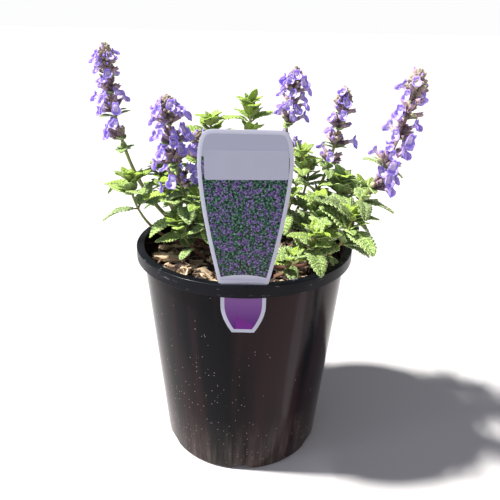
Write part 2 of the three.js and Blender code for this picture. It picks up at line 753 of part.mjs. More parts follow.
// The florets and buds of one whorl, round the stem in two tiers.
function whorlPieces(stem, [at, florets, buds, arc = 360], whorlKey) {
  const count = florets + buds;
  const rise = (at - stem.spikeFrom) / (1 - stem.spikeFrom);
  const reach = FLORET.lowest + (FLORET.topmost - FLORET.lowest) * rise;
  const pieces = [];
  for (let i = 0; i < count; i++) {
    const keys = [stem.key, whorlKey, i];
    const isBud = (i * buds) % count < buds;
    const tier = i % 2 ? 1 : -1;
    const stagger = WHORL.stagger * (whorlKey % 2) + WHORL.turnSway * sway(...keys, 21);
    const turn = radians(arc * ((i + 0.5 + stagger) / count - 0.5) - 90);
    const root = Math.min(WHORL.last, at + WHORL.tier * tier + WHORL.placeSway * sway(...keys, 22));
    const closed = Math.max(0, (at - WHORL.closeFrom) / (1 - WHORL.closeFrom));
    const lean = WHORL.close * closed + WHORL.tierSpread * tier - WHORL.spreadSway * sway(...keys, 23);
    const spread = radians((isBud ? WHORL.budSpread : WHORL.spread) - lean);
    const setBack = -WHORL.proud * stemRadius(root);
    const axes = leafAxes(stemFrame(stem.line, root), { turn, spread, setBack });
    const scale = 1 + WHORL.sizeSway * sway(...keys, 24);
    const budScale = scale * Math.max(WHORL.leastBud, reach);
    pieces.push(isBud ? budGeometry(axes, budScale) : floretGeometry(axes, scale, reach));
  }
  return pieces;
}

// ---------------------------------------------------------------- growing the plant

const stems = [
  ...Object.entries(FLOWER_STEMS).map(([name, stem]) => ({ ...stem, name, flowers: true })),
  ...Object.entries(LEAFY_SHOOTS).map(([name, stem]) => ({ ...stem, name, flowers: false })),
].map((stem, key) => ({ ...stem, key, line: stemLine(stem) }));

const pot = potSolid();
const label = labelSolid();
const soil = soilSolid(stems.map((stem) => stem.line));
const chips = BARK_CHIPS.map((chip, i) => solidOf(chipGeometry(chip, i)));

// Everything that a leaf has to keep clear of, with its owner.
const placed = [];
function place(owner, solid, isStem = false) {
  placed.push({ owner, solid, isStem, box: solid.boundingBox() });
}
function boxesMeet(a, b) {
  return [0, 1, 2].every((k) => a.min[k] < b.max[k] && b.min[k] < a.max[k]);
}
function isClear(owner, solid, mate) {
  const box = solid.boundingBox();
  return placed.every(
    (other) =>
      (other.owner === owner && other.isStem) ||
      other.solid === mate ||
      !boxesMeet(box, other.box) ||
      solid.intersect(other.solid).isEmpty(),
  );
}

place("pot", pot);
place("label", label);
place("soil", soil);
chips.forEach((chip, i) => place("bark_chip_" + (i + 1), chip));

// Stems and spikes first, so that every leaf can be bent clear of them.
for (const stem of stems) {
  const end = stem.flowers ? stem.spikeFrom : 1;
  stem.parts = [solidOf(stemGeometry(stem.line, 0, end))];
  place(stem.name, stem.parts[0], true);
  if (!stem.flowers) continue;
  const gap = CLEARANCE / stem.line.curve.getLength();
  const rachis = solidOf(stemGeometry(stem.line, end + gap, 1));
  stem.spikeParts = [rachis];
  stem.whorls.forEach((whorl, w) => {
    for (const piece of whorlPieces(stem, whorl, w)) stem.spikeParts.push(solidOf(piece));
  });
  stem.spikeParts.forEach((part, i) => place("spike_" + stem.name, part, i === 0));
}

// The leaf pairs of a stem, from the tip down: place, length, spread, curl and teeth.
function leafPairs(stem) {
  if (stem.flowers) {
    return stem.leaves.toReversed().map(([at, length]) => ({ at, length, ...STEM_LEAF }));
  }
  const reach = stem.line.curve.getLength();
  return SHOOT_PAIRS.slice(0, stem.pairs).map((pair) => ({
    ...pair,
    at: 1 - pair.below / reach,
    length: pair.size * stem.leaf,
  }));
}

// One leaf, bent clear of what is already there but for its mate across the stem, or none where
// nothing is clear.
function growLeaf(owner, line, { at, length, spread, curl, teeth }, turn, keys, mate) {
  const frame = stemFrame(line, at);
  for (const [moreSpread, moreTurn, size] of BENDS) {
    const angles = {
      turn: radians(turn + moreTurn + LEAF.sway.turn * sway(...keys, 1)),
      spread: radians(spread + moreSpread + LEAF.sway.spread * sway(...keys, 2)),
      setBack: LEAF.sunk * stemRadius(at),
    };
    const leaf = {
      length: length * size * (1 + LEAF.sway.length * sway(...keys, 3)),
      curl: radians(curl + LEAF.sway.curl * sway(...keys, 4)),
      teeth,
    };
    const axes = leafAxes(frame, angles);
    if (!isClear(owner, solidOf(leafGeometry(axes, leaf, SWELL)), mate)) continue;
    const solid = solidOf(leafGeometry(axes, leaf));
    place(owner, solid);
    return solid;
  }
  return null;
}

// A pair of leaves on opposite sides of a stem.
function growPair(owner, stem, pair, rank) {
  const grown = [];
  for (const side of [0, 1]) {
    const turn = stem.turn + 90 * rank + 180 * side;
    const leaf = growLeaf(owner, stem.line, pair, turn, [stem.key, rank, side], grown[0]);
    if (leaf) grown.push(leaf);
  }
  return grown;
}

for (const stem of stems) {
  leafPairs(stem).forEach((pair, rank) => stem.parts.push(...growPair(stem.name, stem, pair, rank)));
  if (!stem.flowers) continue;
  stem.bracts.forEach(([at, length], i) => {
    const pair = { at, length, ...BRACT };
    stem.spikeParts.push(...growPair("spike_" + stem.name, stem, pair, BRACT.firstRank + i));
  });
}

// ---------------------------------------------------------------- the group

const plant = new THREE.Group();
plant.name = "catmint_in_pot";
plant.add(
  meshOf("pot", pot, MATERIALS.pot),
  meshOf("plant_label", label, MATERIALS.label),
  meshOf("potting_mix", soil, MATERIALS.soil),
);
chips.forEach((chip, i) => plant.add(meshOf("bark_chip_" + (i + 1), chip, MATERIALS.bark)));
for (const stem of stems) {
  const kind = stem.flowers ? "flower_stem_" : "leafy_shoot_";
  plant.add(meshOf(kind + stem.name, wasm.Manifold.union(stem.parts), MATERIALS.leaf));
  if (stem.flowers) {
    plant.add(meshOf("flower_spike_" + stem.name, wasm.Manifold.union(stem.spikeParts), MATERIALS.flower));
  }
}

export default plant;
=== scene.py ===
"""A flowering catmint plant in its nursery pot, with bark mulch and a push-in plant label.

The classes hold sizes in millimetres. Each piece is turned to metres when it is finished.
"""

from __future__ import annotations

import logging
import math
from dataclasses import dataclass, replace
from enum import IntEnum
from functools import cached_property, partial
from typing import Any, Callable, ClassVar, Iterator, Sequence

import bmesh
import bpy
from bmesh.types import BMEdge, BMesh, BMFace, BMVert
from mathutils import Matrix, Vector, kdtree, noise

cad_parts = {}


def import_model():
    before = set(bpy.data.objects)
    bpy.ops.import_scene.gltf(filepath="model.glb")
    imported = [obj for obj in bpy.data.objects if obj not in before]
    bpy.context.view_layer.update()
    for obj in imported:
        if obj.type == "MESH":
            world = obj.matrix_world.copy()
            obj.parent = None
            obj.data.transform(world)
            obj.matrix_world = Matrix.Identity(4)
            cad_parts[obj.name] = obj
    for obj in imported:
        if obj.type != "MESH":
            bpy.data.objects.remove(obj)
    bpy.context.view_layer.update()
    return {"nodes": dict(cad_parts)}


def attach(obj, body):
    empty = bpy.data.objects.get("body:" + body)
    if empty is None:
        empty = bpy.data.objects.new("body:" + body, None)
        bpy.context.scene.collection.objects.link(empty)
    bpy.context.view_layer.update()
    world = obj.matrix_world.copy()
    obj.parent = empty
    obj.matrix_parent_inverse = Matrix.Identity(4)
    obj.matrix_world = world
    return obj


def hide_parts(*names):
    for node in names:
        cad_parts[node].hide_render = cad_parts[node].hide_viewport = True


Add = Callable[..., bpy.types.Node]
Stops = Sequence[tuple[float, str]]
Triple = tuple[float, float, float]

LOG = logging.getLogger("catmint")
MM = 0.001
UP = Vector((0, 0, 1))
SEED = 2166136261
WORD = 0xFFFFFFFF
MIXERS = 0x9E3779B1, 0x85EBCA6B


# ------------------------------------------------------------------ draws and small helpers


def draw(*keys: int) -> float:
    """Draw a number from 0 to 1 that depends only on the whole numbers given.

    Args:
        keys: The thing that it is drawn for, and last a number of its own for each draw.

    Returns:
        The draw.
    """
    h = SEED
    for key in keys:
        h = ((h ^ key) * MIXERS[0]) & WORD
        h ^= h >> 15
    h = ((h ^ (h >> 13)) * MIXERS[1]) & WORD
    return (h ^ (h >> 16)) / 2**32


def sway(*keys: int) -> float:
    """Draw a number from -1 to 1."""
    return 2 * draw(*keys) - 1


def srgb(code: str) -> tuple[float, float, float, float]:
    """Turn an sRGB hex value into a linear colour.

    Args:
        code: The colour as "#rrggbb".

    Returns:
        Red, green, blue and alpha.
    """
    shares = [int(code[i : i + 2], 16) / 255 for i in (1, 3, 5)]
    return (*(s / 12.92 if s <= 0.04045 else ((s + 0.055) / 1.055) ** 2.4 for s in shares), 1.0)


def per_metre(size_mm: float) -> float:
    """Turn the size of one cell of a pattern into a texture scale for coordinates in metres."""
    return 1 / (size_mm * MM)


def points_at(*pairs: tuple[float, float]) -> list[Vector]:
    """Points of a section, in x and z."""
    return [Vector(pair) for pair in pairs]


def curve_on(points: list[Vector], bend: tuple[float, float], end: tuple[float, float], steps: int) -> None:
    """Carry a section on along a quadratic curve.

    Args:
        points: The section so far.
        bend: Control point of the curve.
        end: Its last point.
        steps: How many points it adds.
    """
    start, bend, end = points[-1], Vector(bend), Vector(end)
    shares = [(i + 1) / steps for i in range(steps)]
    points += [start * (1 - t) ** 2 + bend * 2 * t * (1 - t) + end * t**2 for t in shares]


def polar(radius: float, turn: float, z: float) -> Vector:
    """A place round the z axis, at a turn in radians from the y axis."""
    return Vector((radius * math.sin(turn), radius * math.cos(turn), z))


def span(edge: BMEdge, axis: int) -> float:
    """How far the ends of an edge lie apart along an axis."""
    return abs(edge.verts[0].co[axis] - edge.verts[1].co[axis])


def plug(tree: bpy.types.NodeTree, socket: bpy.types.NodeSocket, value: Any) -> None:
    """Give an input its value.

    Args:
        tree: The material's node tree.
        socket: The input.
        value: A number, a colour as "#rrggbb", an output, a node whose first output in use is
            meant, or None to leave the input as it is.
    """
    if isinstance(value, bpy.types.Node):
        value = next(output for output in value.outputs if output.enabled)
    if isinstance(value, bpy.types.NodeSocket):
        tree.links.new(value, socket)
    elif value is not None:
        socket.default_value = srgb(value) if isinstance(value, str) else value


def add_node(
    tree: bpy.types.NodeTree, kind: str, *values: Any, stops: Stops = (), **settings: Any
) -> bpy.types.Node:
    """Add a shader node with its settings, values and links.

    Args:
        tree: The material's node tree.
        kind: Type name of the node, without "ShaderNode".
        values: What plug gives to each input in use, in their order.
        stops: Places and colours of a colour ramp, from the lowest.
        settings: Properties of the node.

    Returns:
        The new node.
    """
    node = tree.nodes.new("ShaderNode" + kind)
    for name, value in settings.items():
        setattr(node, name, value)
    for socket, value in zip([socket for socket in node.inputs if socket.enabled], values):
        plug(tree, socket, value)
    if stops:
        elements = node.color_ramp.elements
        for element, (position, _) in zip(elements, (stops[0], stops[-1])):
            element.position = position
        for position, _ in stops[1:-1]:
            elements.new(position)
        for element, (_, colour) in zip(elements, stops):
            element.color = srgb(colour)
    return node


# ------------------------------------------------------------------ finishes


@dataclass(frozen=True)
class Finish:
    """What all finishes share: a material with the class's name, on one Principled shader."""

    def paint(self, add: Add) -> dict[str, Any]:
        """Add the finish's own nodes and return what the shader's inputs get."""
        raise NotImplementedError

    def material(self) -> bpy.types.Material:
        """Build the material, or find it if it's already there.

        Returns:
            The material.
        """
        name = "".join("_" + c.lower() if c.isupper() else c for c in type(self).__name__)[1:]
        material = bpy.data.materials.get(name)
        if not material:
            material = bpy.data.materials.new(name)
            material.use_nodes = True
            tree = material.node_tree
            for socket, value in self.paint(partial(add_node, tree)).items():
                plug(tree, tree.nodes["Principled BSDF"].inputs[socket], value)
        return material


@dataclass(frozen=True)
class MouldedPolypropylene(Finish):
    """Injection-moulded black polypropylene: a smooth wall that mirrors softly, dusty near the foot, with
    upright red-brown bands in the black as painted reflections.
    """

    black: str = "#09090d"
    # Painted reflection: the red-brown that upright bands of the wall are mixed towards.
    warm_black: str = "#24171a"
    dust: str = "#a3968c"
    streak: float = 26.0
    smear: float = 5.0
    film: float = 0.2
    film_height: float = 46.0
    speck: float = 2.0
    patch: float = 14.0
    picked: float = 0.42
    roughness: float = 0.14
    dusty_roughness: float = 0.85
    specular: float = 0.095

    def paint(self, add: Add) -> dict[str, Any]:
        """Upright streaks, as faint flow lines in the bump and as red-brown painted reflections in the
        black; a film of dust near the foot and specks that thin out upwards.

        Args:
            add: Adds a node.

        Returns:
            What the shader's inputs get.
        """
        place = add("TexCoord").outputs["Object"]
        x, _, z = add("SeparateXYZ", place).outputs
        upright = add("Mapping", place, None, None, (1, 1, 0.06))
        streaks = add("TexNoise", upright, per_metre(self.streak), 3.0)
        # Painted reflection: upright bands of the black are tinted red-brown, as if a warm surrounding were
        # mirrored in the wall.
        painted_reflection_bands = add("MapRange", streaks, 0.4, 0.57)
        black = add("Mix", painted_reflection_bands, self.black, self.warm_black, data_type="RGBA")
        specks = add("TexVoronoi", place, per_metre(self.speck))
        near = add("MapRange", specks, 0.1, 0.17, 1.0, 0.0)
        patches = add("TexNoise", place, per_metre(self.patch))
        low = add("MapRange", z, 0.004, 0.12, 0.62, 0.34)
        aside = add("MapRange", x, -0.03, 0.03, 0.1, -0.1)
        reach = add("Math", low, aside, operation="ADD")
        some = add("Math", patches, reach, operation="LESS_THAN")
        chance = add("SeparateColor", specks.outputs["Color"])
        few = add("Math", chance, self.picked, operation="LESS_THAN")
        both = add("Math", some, few, operation="MULTIPLY")
        dots = add("Math", near, both, operation="MULTIPLY")
        film = add("MapRange", z, 0.0, self.film_height * MM, self.film, 0.0)
        smears = add("TexNoise", upright, per_metre(self.smear), 5.0, 0.7)
        thick = add("MapRange", smears, 0.35, 0.7)
        haze = add("Math", film, thick, operation="MULTIPLY")
        dust = add("Math", dots, haze, operation="MAXIMUM")
        return {
            "Base Color": add("Mix", dust, black, self.dust, data_type="RGBA"),
            "Roughness": add("MapRange", dust, 0.0, 1.0, self.roughness, self.dusty_roughness),
            "Normal": add("Bump", 0.05, 0.0006, None, streaks),
            "IOR": 1.49,
            "Specular IOR Level": self.specular,
        }


@dataclass(frozen=True)
class ScuffedPolypropylene(Finish):
    """The same plastic where hands and crates have dulled it: a satin rim with pale scuffs."""

    slate: str = "#08090f"
    worn: str = "#101218"
    scuff: str = "#787a82"
    wear: float = 22.0
    scratch: float = 3.2

    def paint(self, add: Add) -> dict[str, Any]:
        """Uneven wear, and short scuffs that run round the rim.

        Args:
            add: Adds a node.

        Returns:
            What the shader's inputs get.
        """
        place = add("TexCoord").outputs["Object"]
        wear = add("TexNoise", place, per_metre(self.wear), 6.0)
        base = add("Mix", wear, self.slate, self.worn, data_type="RGBA")
        squashed = add("Mapping", place, None, None, (0.35, 0.35, 2.4))
        scratches = add("TexNoise", squashed, per_metre(self.scratch), 5.0)
        cut = add("MapRange", scratches, 0.63, 0.73)
        return {
            "Base Color": add("Mix", cut, base, self.scuff, data_type="RGBA"),
            "Roughness": add("MapRange", wear, 0.3, 0.7, 0.22, 0.42),
            "Normal": add("Bump", 0.18, 0.0004, None, scratches),
            "IOR": 1.49,
            "Specular IOR Level": 0.11,
        }


@dataclass(frozen=True)
class PolystyreneSheet(Finish):
    """Rolled white polystyrene sheet, cut to shape: a cool white with a dull gloss, its white darkened to
    grey as painted shade.
    """

    # Painted shade: both tones are white darkened to grey, because the label's face stands in shade.
    white: str = "#a6aabb"
    shade: str = "#9da1b3"
    cloud: float = 30.0

    def paint(self, add: Add) -> dict[str, Any]:
        """A faint unevenness of the white and of the gloss.

        Args:
            add: Adds a node.

        Returns:
            What the shader's inputs get.
        """
        cloud = add("TexNoise", add("TexCoord").outputs["Object"], per_metre(self.cloud), 4.0)
        return {
            "Base Color": add("Mix", cloud, self.white, self.shade, data_type="RGBA"),
            "Roughness": add("MapRange", cloud, 0.0, 1.0, 0.32, 0.46),
        }


@dataclass(frozen=True)
class VinylSticker(Finish):
    """Glossy white vinyl, cut and stuck on by hand, with a trace of the ripples under it; its white is
    darkened to grey as painted shade.
    """

    # Painted shade: both tones are white darkened to grey, because the label's face stands in shade.
    white: str = "#9296a9"
    shade: str = "#888ca0"
    ripple: float = 12.0

    def paint(self, add: Add) -> dict[str, Any]:
        """Soft ripples where the vinyl isn't pressed down all over, with their hollows painted a little
        darker as painted shade.

        Args:
            add: Adds a node.

        Returns:
            What the shader's inputs get.
        """
        ripples = add("TexNoise", add("TexCoord").outputs["Object"], per_metre(self.ripple), 1.0)
        # Painted shade: the colour darkens a little in the ripples' hollows.
        lit = add("MapRange", ripples, 0.0, 1.0, 0.9, 1.0)
        return {
            "Base Color": add("Mix", lit, self.shade, self.white, data_type="RGBA"),
            "Normal": add("Bump", 0.25, 0.0008, None, ripples),
            "Roughness": 0.26,
        }


@dataclass(frozen=True)
class LithoPrint(Finish):
    """Offset print on the sheet: a bare header, a mottled planting, a pale arc and a purple tail. The bare
    header and the arc are whites darkened to grey as painted shade, and the arc darkens further towards its
    foot as painted shade.
    """

    # Painted shade: the bare paper and the arc's two tones are whites darkened to grey, because the label's
    # face stands in shade.
    paper: str = "#9296a9"
    blossoms: tuple[str, ...] = ("#271e40", "#4e3f71", "#8076a0")
    leaves: tuple[str, ...] = ("#080f0e", "#264b3d", "#6f9a88")
    bare_twig: str = "#352523"
    arc_foot: str = "#868baf"
    arc_head: str = "#b2b4c0"
    tail_top: str = "#75538b"
    tail_low: str = "#4c1367"
    flash: str = "#652479"
    blossom: float = 2.2
    sprig: float = 1.15
    stir: float = 1.3
    bed: float = 11.0
    header_foot: float = 229.9
    arc_top: float = 161.0
    arc_radius: float = 54.0
    tail_from: float = 155.3
    tail_fade: float = 149.0
    tail_foot: float = 125.0
    flash_left: float = -4.1
    flash_slope: float = -0.62
    flash_height: float = 131.4

    def paint(self, add: Add) -> dict[str, Any]:
        """The printed zones, told apart by their height and their place across the label.

        Args:
            add: Adds a node.

        Returns:
            What the shader's inputs get.
        """
        place = add("TexCoord").outputs["Object"]
        x, _, z = add("SeparateXYZ", place).outputs
        across = add("Math", x, 1 / MM, -PlantLabel.centre, operation="MULTIPLY_ADD")
        height = add("Math", z, 1 / MM, operation="MULTIPLY")
        rise = add("Math", height, self.arc_top - self.arc_radius, operation="SUBTRACT")
        squares = [add("Math", side, side, operation="MULTIPLY") for side in (across, rise)]
        reach = add("Math", *squares, operation="ADD")
        in_arc = add("Math", reach, self.arc_radius**2, operation="LESS_THAN")
        # Painted shade: the arc darkens and turns bluer towards its foot.
        fade = add("MapRange", height, self.tail_from, self.arc_top)
        arc = add("Mix", fade, self.arc_foot, self.arc_head, data_type="RGBA")
        in_header = add("Math", height, self.header_foot, operation="GREATER_THAN")
        in_tail = add("Math", height, self.tail_from, operation="LESS_THAN")
        tail = self.tail(add, across, height)
        colour = self.planting(add, place, z)
        for zone, ink in ((in_header, self.paper), (in_arc, arc), (in_tail, tail)):
            colour = add("Mix", zone, colour, ink, data_type="RGBA")
        return {"Base Color": colour, "Roughness": 0.34, "Specular IOR Level": 0.1}

    def planting(self, add: Add, place: bpy.types.NodeSocket, z: bpy.types.NodeSocket) -> bpy.types.Node:
        """A generic mottle: ragged tufts of violet blossom over fine green leaves with dark gaps.

        Args:
            add: Adds a node.
            place: Object coordinates.
            z: Their height.

        Returns:
            The node with its colour.
        """
        stir = add("TexNoise", place, per_metre(self.stir), 2.0)
        moved = add("VectorMath", stir.outputs["Color"], (0.0016,) * 3, place, operation="MULTIPLY_ADD")
        sprigs = add("TexNoise", moved, per_metre(self.sprig), 3.0, 0.7)
        beds = add("TexNoise", place, per_metre(self.bed), 3.0)
        upright = add("Mapping", moved, None, None, (1, 1, 0.75))
        tufts = add("TexVoronoi", upright, per_metre(self.blossom))
        foliage = add("ValToRGB", sprigs, stops=tuple(zip((0.42, 0.53, 0.68), self.leaves)))
        petals = add("ValToRGB", sprigs, stops=tuple(zip((0.36, 0.5, 0.64), self.blossoms)))
        share = add("MapRange", beds, 0.36, 0.64, 0.92, 0.3)
        chance = add("SeparateColor", tufts.outputs["Color"])
        picked = add("Math", chance, share, operation="LESS_THAN")
        ragged = add("Math", sprigs, -0.9, tufts, operation="MULTIPLY_ADD")
        full = add("MapRange", ragged, -0.02, 0.12, 1.0, 0.0)
        mask = add("Math", picked, full, operation="MULTIPLY")
        planted = add("Mix", mask, foliage, petals, data_type="RGBA")
        low = add("MapRange", z, 0.195, 0.165, 0.0, 0.6)
        thin = add("MapRange", sprigs, 0.42, 0.52, 1.0, 0.0)
        bare = add("Math", low, thin, operation="MULTIPLY")
        return add("Mix", bare, planted, self.bare_twig, data_type="RGBA")

    def tail(self, add: Add, across: bpy.types.Node, height: bpy.types.Node) -> bpy.types.Node:
        """The purple of the tail, deeper downwards, with a lighter triangle at its foot.

        Args:
            add: Adds a node.
            across: Millimetres from the label's middle.
            height: Millimetres over the surface that the pot stands on.

        Returns:
            The node with its colour.
        """
        depth = add("MapRange", height, self.tail_foot, self.tail_fade)
        purple = add("Mix", depth, self.tail_low, self.tail_top, data_type="RGBA")
        slant = add("Math", across, self.flash_slope, self.flash_height, operation="MULTIPLY_ADD")
        under = add("Math", height, slant, operation="LESS_THAN")
        right = add("Math", across, self.flash_left, operation="GREATER_THAN")
        both = add("Math", under, right, operation="MULTIPLY")
        return add("Mix", both, purple, self.flash, data_type="RGBA")


@dataclass(frozen=True)
class CompostedBark(Finish):
    """Damp potting mix of composted bark and peat: near-black crumbs with rust-brown fibres."""

    damp: str = "#0d0806"
    crumb: str = "#2a1a12"
    fibre: str = "#6b4c38"
    grain: float = 1.6

    def paint(self, add: Add) -> dict[str, Any]:
        """Crumbs of two browns, and a few rusty ones.

        Args:
            add: Adds a node.

        Returns:
            What the shader's inputs get.
        """
        crumbs = add("TexNoise", add("TexCoord").outputs["Object"], per_metre(self.grain), 6.0)
        browns = ((0.4, self.damp), (0.56, self.crumb), (0.72, self.fibre))
        return {
            "Base Color": add("ValToRGB", crumbs, stops=browns),
            "Normal": add("Bump", 0.8, 0.001, None, crumbs),
            "Roughness": 0.95,
        }


@dataclass(frozen=True)
class SplitPineBark(Finish):
    """Pine bark, split along its layers: pinkish tan with dark seams that follow the grain.

    It reads "place", the millimetres along, across and through each chip, and "youth", which is 0
    in the oldest and rustiest chips.
    """

    pale: str = "#f2e2c4"
    tan: str = "#cdb08c"
    rust: str = "#48301f"
    seam: str = "#1c100b"

    def paint(self, add: Add) -> dict[str, Any]:
        """Grain lines a millimetre apart, in tones that differ from chip to chip.

        Args:
            add: Adds a node.

        Returns:
            What the shader's inputs get.
        """
        place = add("Attribute", attribute_name="place").outputs["Vector"]
        youth = add("Attribute", attribute_name="youth").outputs["Fac"]
        along = add("Mapping", place, None, None, (0.09, 0.8, 1.1))
        grain = add("TexNoise", along, 1.0, 5.0, None, None, 0.6)
        layers = add("ValToRGB", grain, stops=((0.34, self.seam), (0.47, self.tan), (0.62, self.pale)))
        return {
            "Base Color": add("Mix", youth, self.rust, layers, data_type="RGBA"),
            "Normal": add("Bump", 0.7, 0.0009, None, grain),
            "Roughness": 0.88,
        }


@dataclass(frozen=True)
class LeafFace(Finish):
    """What both faces of a leaf share: the run of their veins, and light that passes through.

    They read "place", which is the share along the blade, the share across it and a tone for each
    leaf, and "youth", which is 1 in the yellow-green leaves at a tip.
    """

    veins: ClassVar[int] = 9
    vein_slant: ClassVar[float] = 0.13
    tooth_phase: ClassVar[float] = 0.33
    glow: ClassVar[dict[str, Any]] = {
        "Sheen Roughness": 0.5,
        "Subsurface Weight": 0.5,
        "Subsurface Radius": (0.7, 1.0, 0.25),
        "Subsurface Scale": 0.0012,
    }

    def veined(self, add: Add) -> tuple[Any, Any, Any, Any]:
        """Lay the veins out.

        Args:
            add: Adds a node.

        Returns:
            The share across, the distance from a vein, the leaf's tone and its youth.
        """
        place = add("Attribute", attribute_name="place").outputs["Vector"]
        along, across, tone = add("SeparateXYZ", place).outputs
        side = add("Math", across, operation="ABSOLUTE")
        slanted = add("Math", side, -self.vein_slant, along, operation="MULTIPLY_ADD")
        phase = add("Math", slanted, float(self.veins), operation="MULTIPLY")
        from_vein = add("Math", phase, 0.5, operation="PINGPONG")
        return side, from_vein, tone, add("Attribute", attribute_name="youth").outputs["Fac"]


@dataclass(frozen=True)
class DownyLeaf(LeafFace):
    """The upper face of a catmint leaf: quilted, matt sage green under fine down, with painted shade in its
    sunken veins and painted highlights on its crests.
    """

    # Painted shade: the dark green of the sunken veins and hollows.
    hollow: str = "#2f4a18"
    sage: str = "#698a38"
    # Painted highlight: the pale green of the quilting's crests.
    crest: str = "#b8cc92"
    rim: str = "#c4d6a4"
    young: str = "#9cbc26"
    # Painted shade: the darker green in a young leaf's hollows.
    young_hollow: str = "#688c18"
    pucker: float = 1.1

    def paint(self, add: Add) -> dict[str, Any]:
        """Painted highlights on the crests between sunken veins, painted shade in the veins and between the
        puckers, and puckers a millimetre across between those.

        Args:
            add: Adds a node.

        Returns:
            What the shader's inputs get.
        """
        side, from_vein, tone, youth = self.veined(add)
        crest = add("MapRange", from_vein, 0.0, 0.2, 0.25)
        beside_rib = add("MapRange", side, 0.02, 0.1, 0.4)
        puckers = add("TexVoronoi", add("TexCoord").outputs["Object"], per_metre(self.pucker))
        lumps = add("MapRange", puckers, 0.0, 0.75, 1.0, 0.0)
        relief = add("Math", crest, beside_rib, operation="MULTIPLY")
        part = add("Math", relief, 0.75, operation="MULTIPLY")
        puckered = add("Math", lumps, 0.38, part, operation="MULTIPLY_ADD", use_clamp=True)
        # Painted highlight, not wear: where relief and puckers are both high, the green is mixed towards the
        # pale crest colour.
        worn = add("Math", puckered, lumps, operation="MULTIPLY")
        # Painted shade: low relief in the veins and between the puckers mixes the green towards the dark
        # hollow colour.
        green = add("Mix", puckered, self.hollow, self.sage, data_type="RGBA")
        crested = add("Mix", worn, green, self.crest, data_type="RGBA")
        at_edge = add("MapRange", side, 0.9, 1.0, 0.0, 0.7)
        rimmed = add("Mix", at_edge, crested, self.rim, data_type="RGBA")
        # Painted shade and highlight on a young leaf, by the same relief.
        fresh = add("Mix", puckered, self.young_hollow, self.young, data_type="RGBA")
        aged = add("Mix", youth, rimmed, fresh, data_type="RGBA")
        bright = add("MapRange", tone, 0.0, 1.0, 0.78, 1.12)
        height = add("Math", lumps, 0.5, relief, operation="MULTIPLY_ADD")
        return self.glow | {
            "Base Color": add("HueSaturation", None, None, bright, None, aged),
            "Normal": add("Bump", 1.0, 0.0009, None, height),
            "Roughness": 0.58,
            "Sheen Weight": 0.2,
            "Sheen Tint": "#eef4e2",
        }


@dataclass(frozen=True)
class LeafBack(LeafFace):
    """The underside of a leaf: paler and greyer, with raised veins that carry most of the down."""

    grey_green: str = "#5f7d45"
    vein: str = "#8ba468"
    young: str = "#93ad2e"

    def paint(self, add: Add) -> dict[str, Any]:
        """Pale veins and a paler midrib on grey-green.

        Args:
            add: Adds a node.

        Returns:
            What the shader's inputs get.
        """
        side, from_vein, _, youth = self.veined(add)
        lateral = add("MapRange", from_vein, 0.03, 0.14, 1.0, 0.0)
        midrib = add("MapRange", side, 0.04, 0.1, 1.0, 0.0)
        veins = add("Math", lateral, midrib, operation="MAXIMUM")
        green = add("Mix", veins, self.grey_green, self.vein, data_type="RGBA")
        return self.glow | {
            "Base Color": add("Mix", youth, green, self.young, data_type="RGBA"),
            "Normal": add("Bump", 0.5, 0.0005, None, veins),
            "Roughness": 0.7,
            "Sheen Weight": 0.3,
        }


@dataclass(frozen=True)
class SquareStem(Finish):
    """A mint's square stem: woody and red-brown at the foot, green above, flushed purple in flower.

    It reads "place", whose first share runs from the woody foot to the flushed top.
    """

    woody: str = "#6d4433"
    green: str = "#7f8c48"
    flushed: str = "#8a6468"
    line: float = 0.9

    def paint(self, add: Add) -> dict[str, Any]:
        """Three colours along the stem, and fine lines along its sides.

        Args:
            add: Adds a node.

        Returns:
            What the shader's inputs get.
        """
        along = add("SeparateXYZ", add("Attribute", attribute_name="place").outputs["Vector"])
        drawn = add("Mapping", add("TexCoord").outputs["Object"], None, None, (1, 1, 0.2))
        lines = add("TexNoise", drawn, per_metre(self.line), 3.0)
        uneven = add("Math", lines, 0.16, along, operation="MULTIPLY_ADD")
        stops = ((0.3, self.woody), (0.44, self.green), (0.74, self.green), (0.94, self.flushed))
        return {
            "Base Color": add("ValToRGB", uneven, stops=stops),
            "Normal": add("Bump", 0.4, 0.0003, None, lines),
            "Roughness": 0.6,
            "Sheen Weight": 0.2,
        }


@dataclass(frozen=True)
class RibbedCalyx(Finish):
    """A calyx with fifteen ribs: dusky purple with green between, paler and greener while young.

    It reads "place": the share along it, half turns round it and its tone; and "youth".
    """

    dusky: str = "#443240"
    # Partly painted shade: the dark foot colour stands in for the shade deep in the whorl, as well as the
    # calyx's own colour.
    base: str = "#3c3829"
    young: str = "#b4b188"
    rose: str = "#a88e98"
    ribs: int = 15

    def paint(self, add: Add) -> dict[str, Any]:
        """Dark green at the foot, partly the calyx's own colour and partly painted shade deep in the whorl;
        dusky at the teeth; ribs round it, painted darker in their furrows and lighter on their crests.

        Args:
            add: Adds a node.

        Returns:
            What the shader's inputs get.
        """
        place = add("Attribute", attribute_name="place").outputs["Vector"]
        youth = add("Attribute", attribute_name="youth").outputs["Fac"]
        along, around, tone = add("SeparateXYZ", place).outputs
        flush = add("Mix", tone, self.dusky, self.rose, data_type="RGBA")
        upper = add("MapRange", along, 0.05, 0.5)
        body = add("Mix", upper, self.base, flush, data_type="RGBA")
        aged = add("Mix", youth, body, self.young, data_type="RGBA")
        turns = add("Math", around, self.ribs * math.pi, operation="MULTIPLY")
        wave = add("Math", turns, operation="COSINE")
        # Painted shade and highlight: darker in the furrows between the ribs, lighter on the ribs.
        shade = add("MapRange", wave, -1.0, 1.0, 0.75, 1.12)
        return {
            "Base Color": add("HueSaturation", None, None, shade, None, aged),
            "Normal": add("Bump", 0.4, 0.0002, None, wave),
            "Roughness": 0.65,
            "Sheen Weight": 0.15,
        }


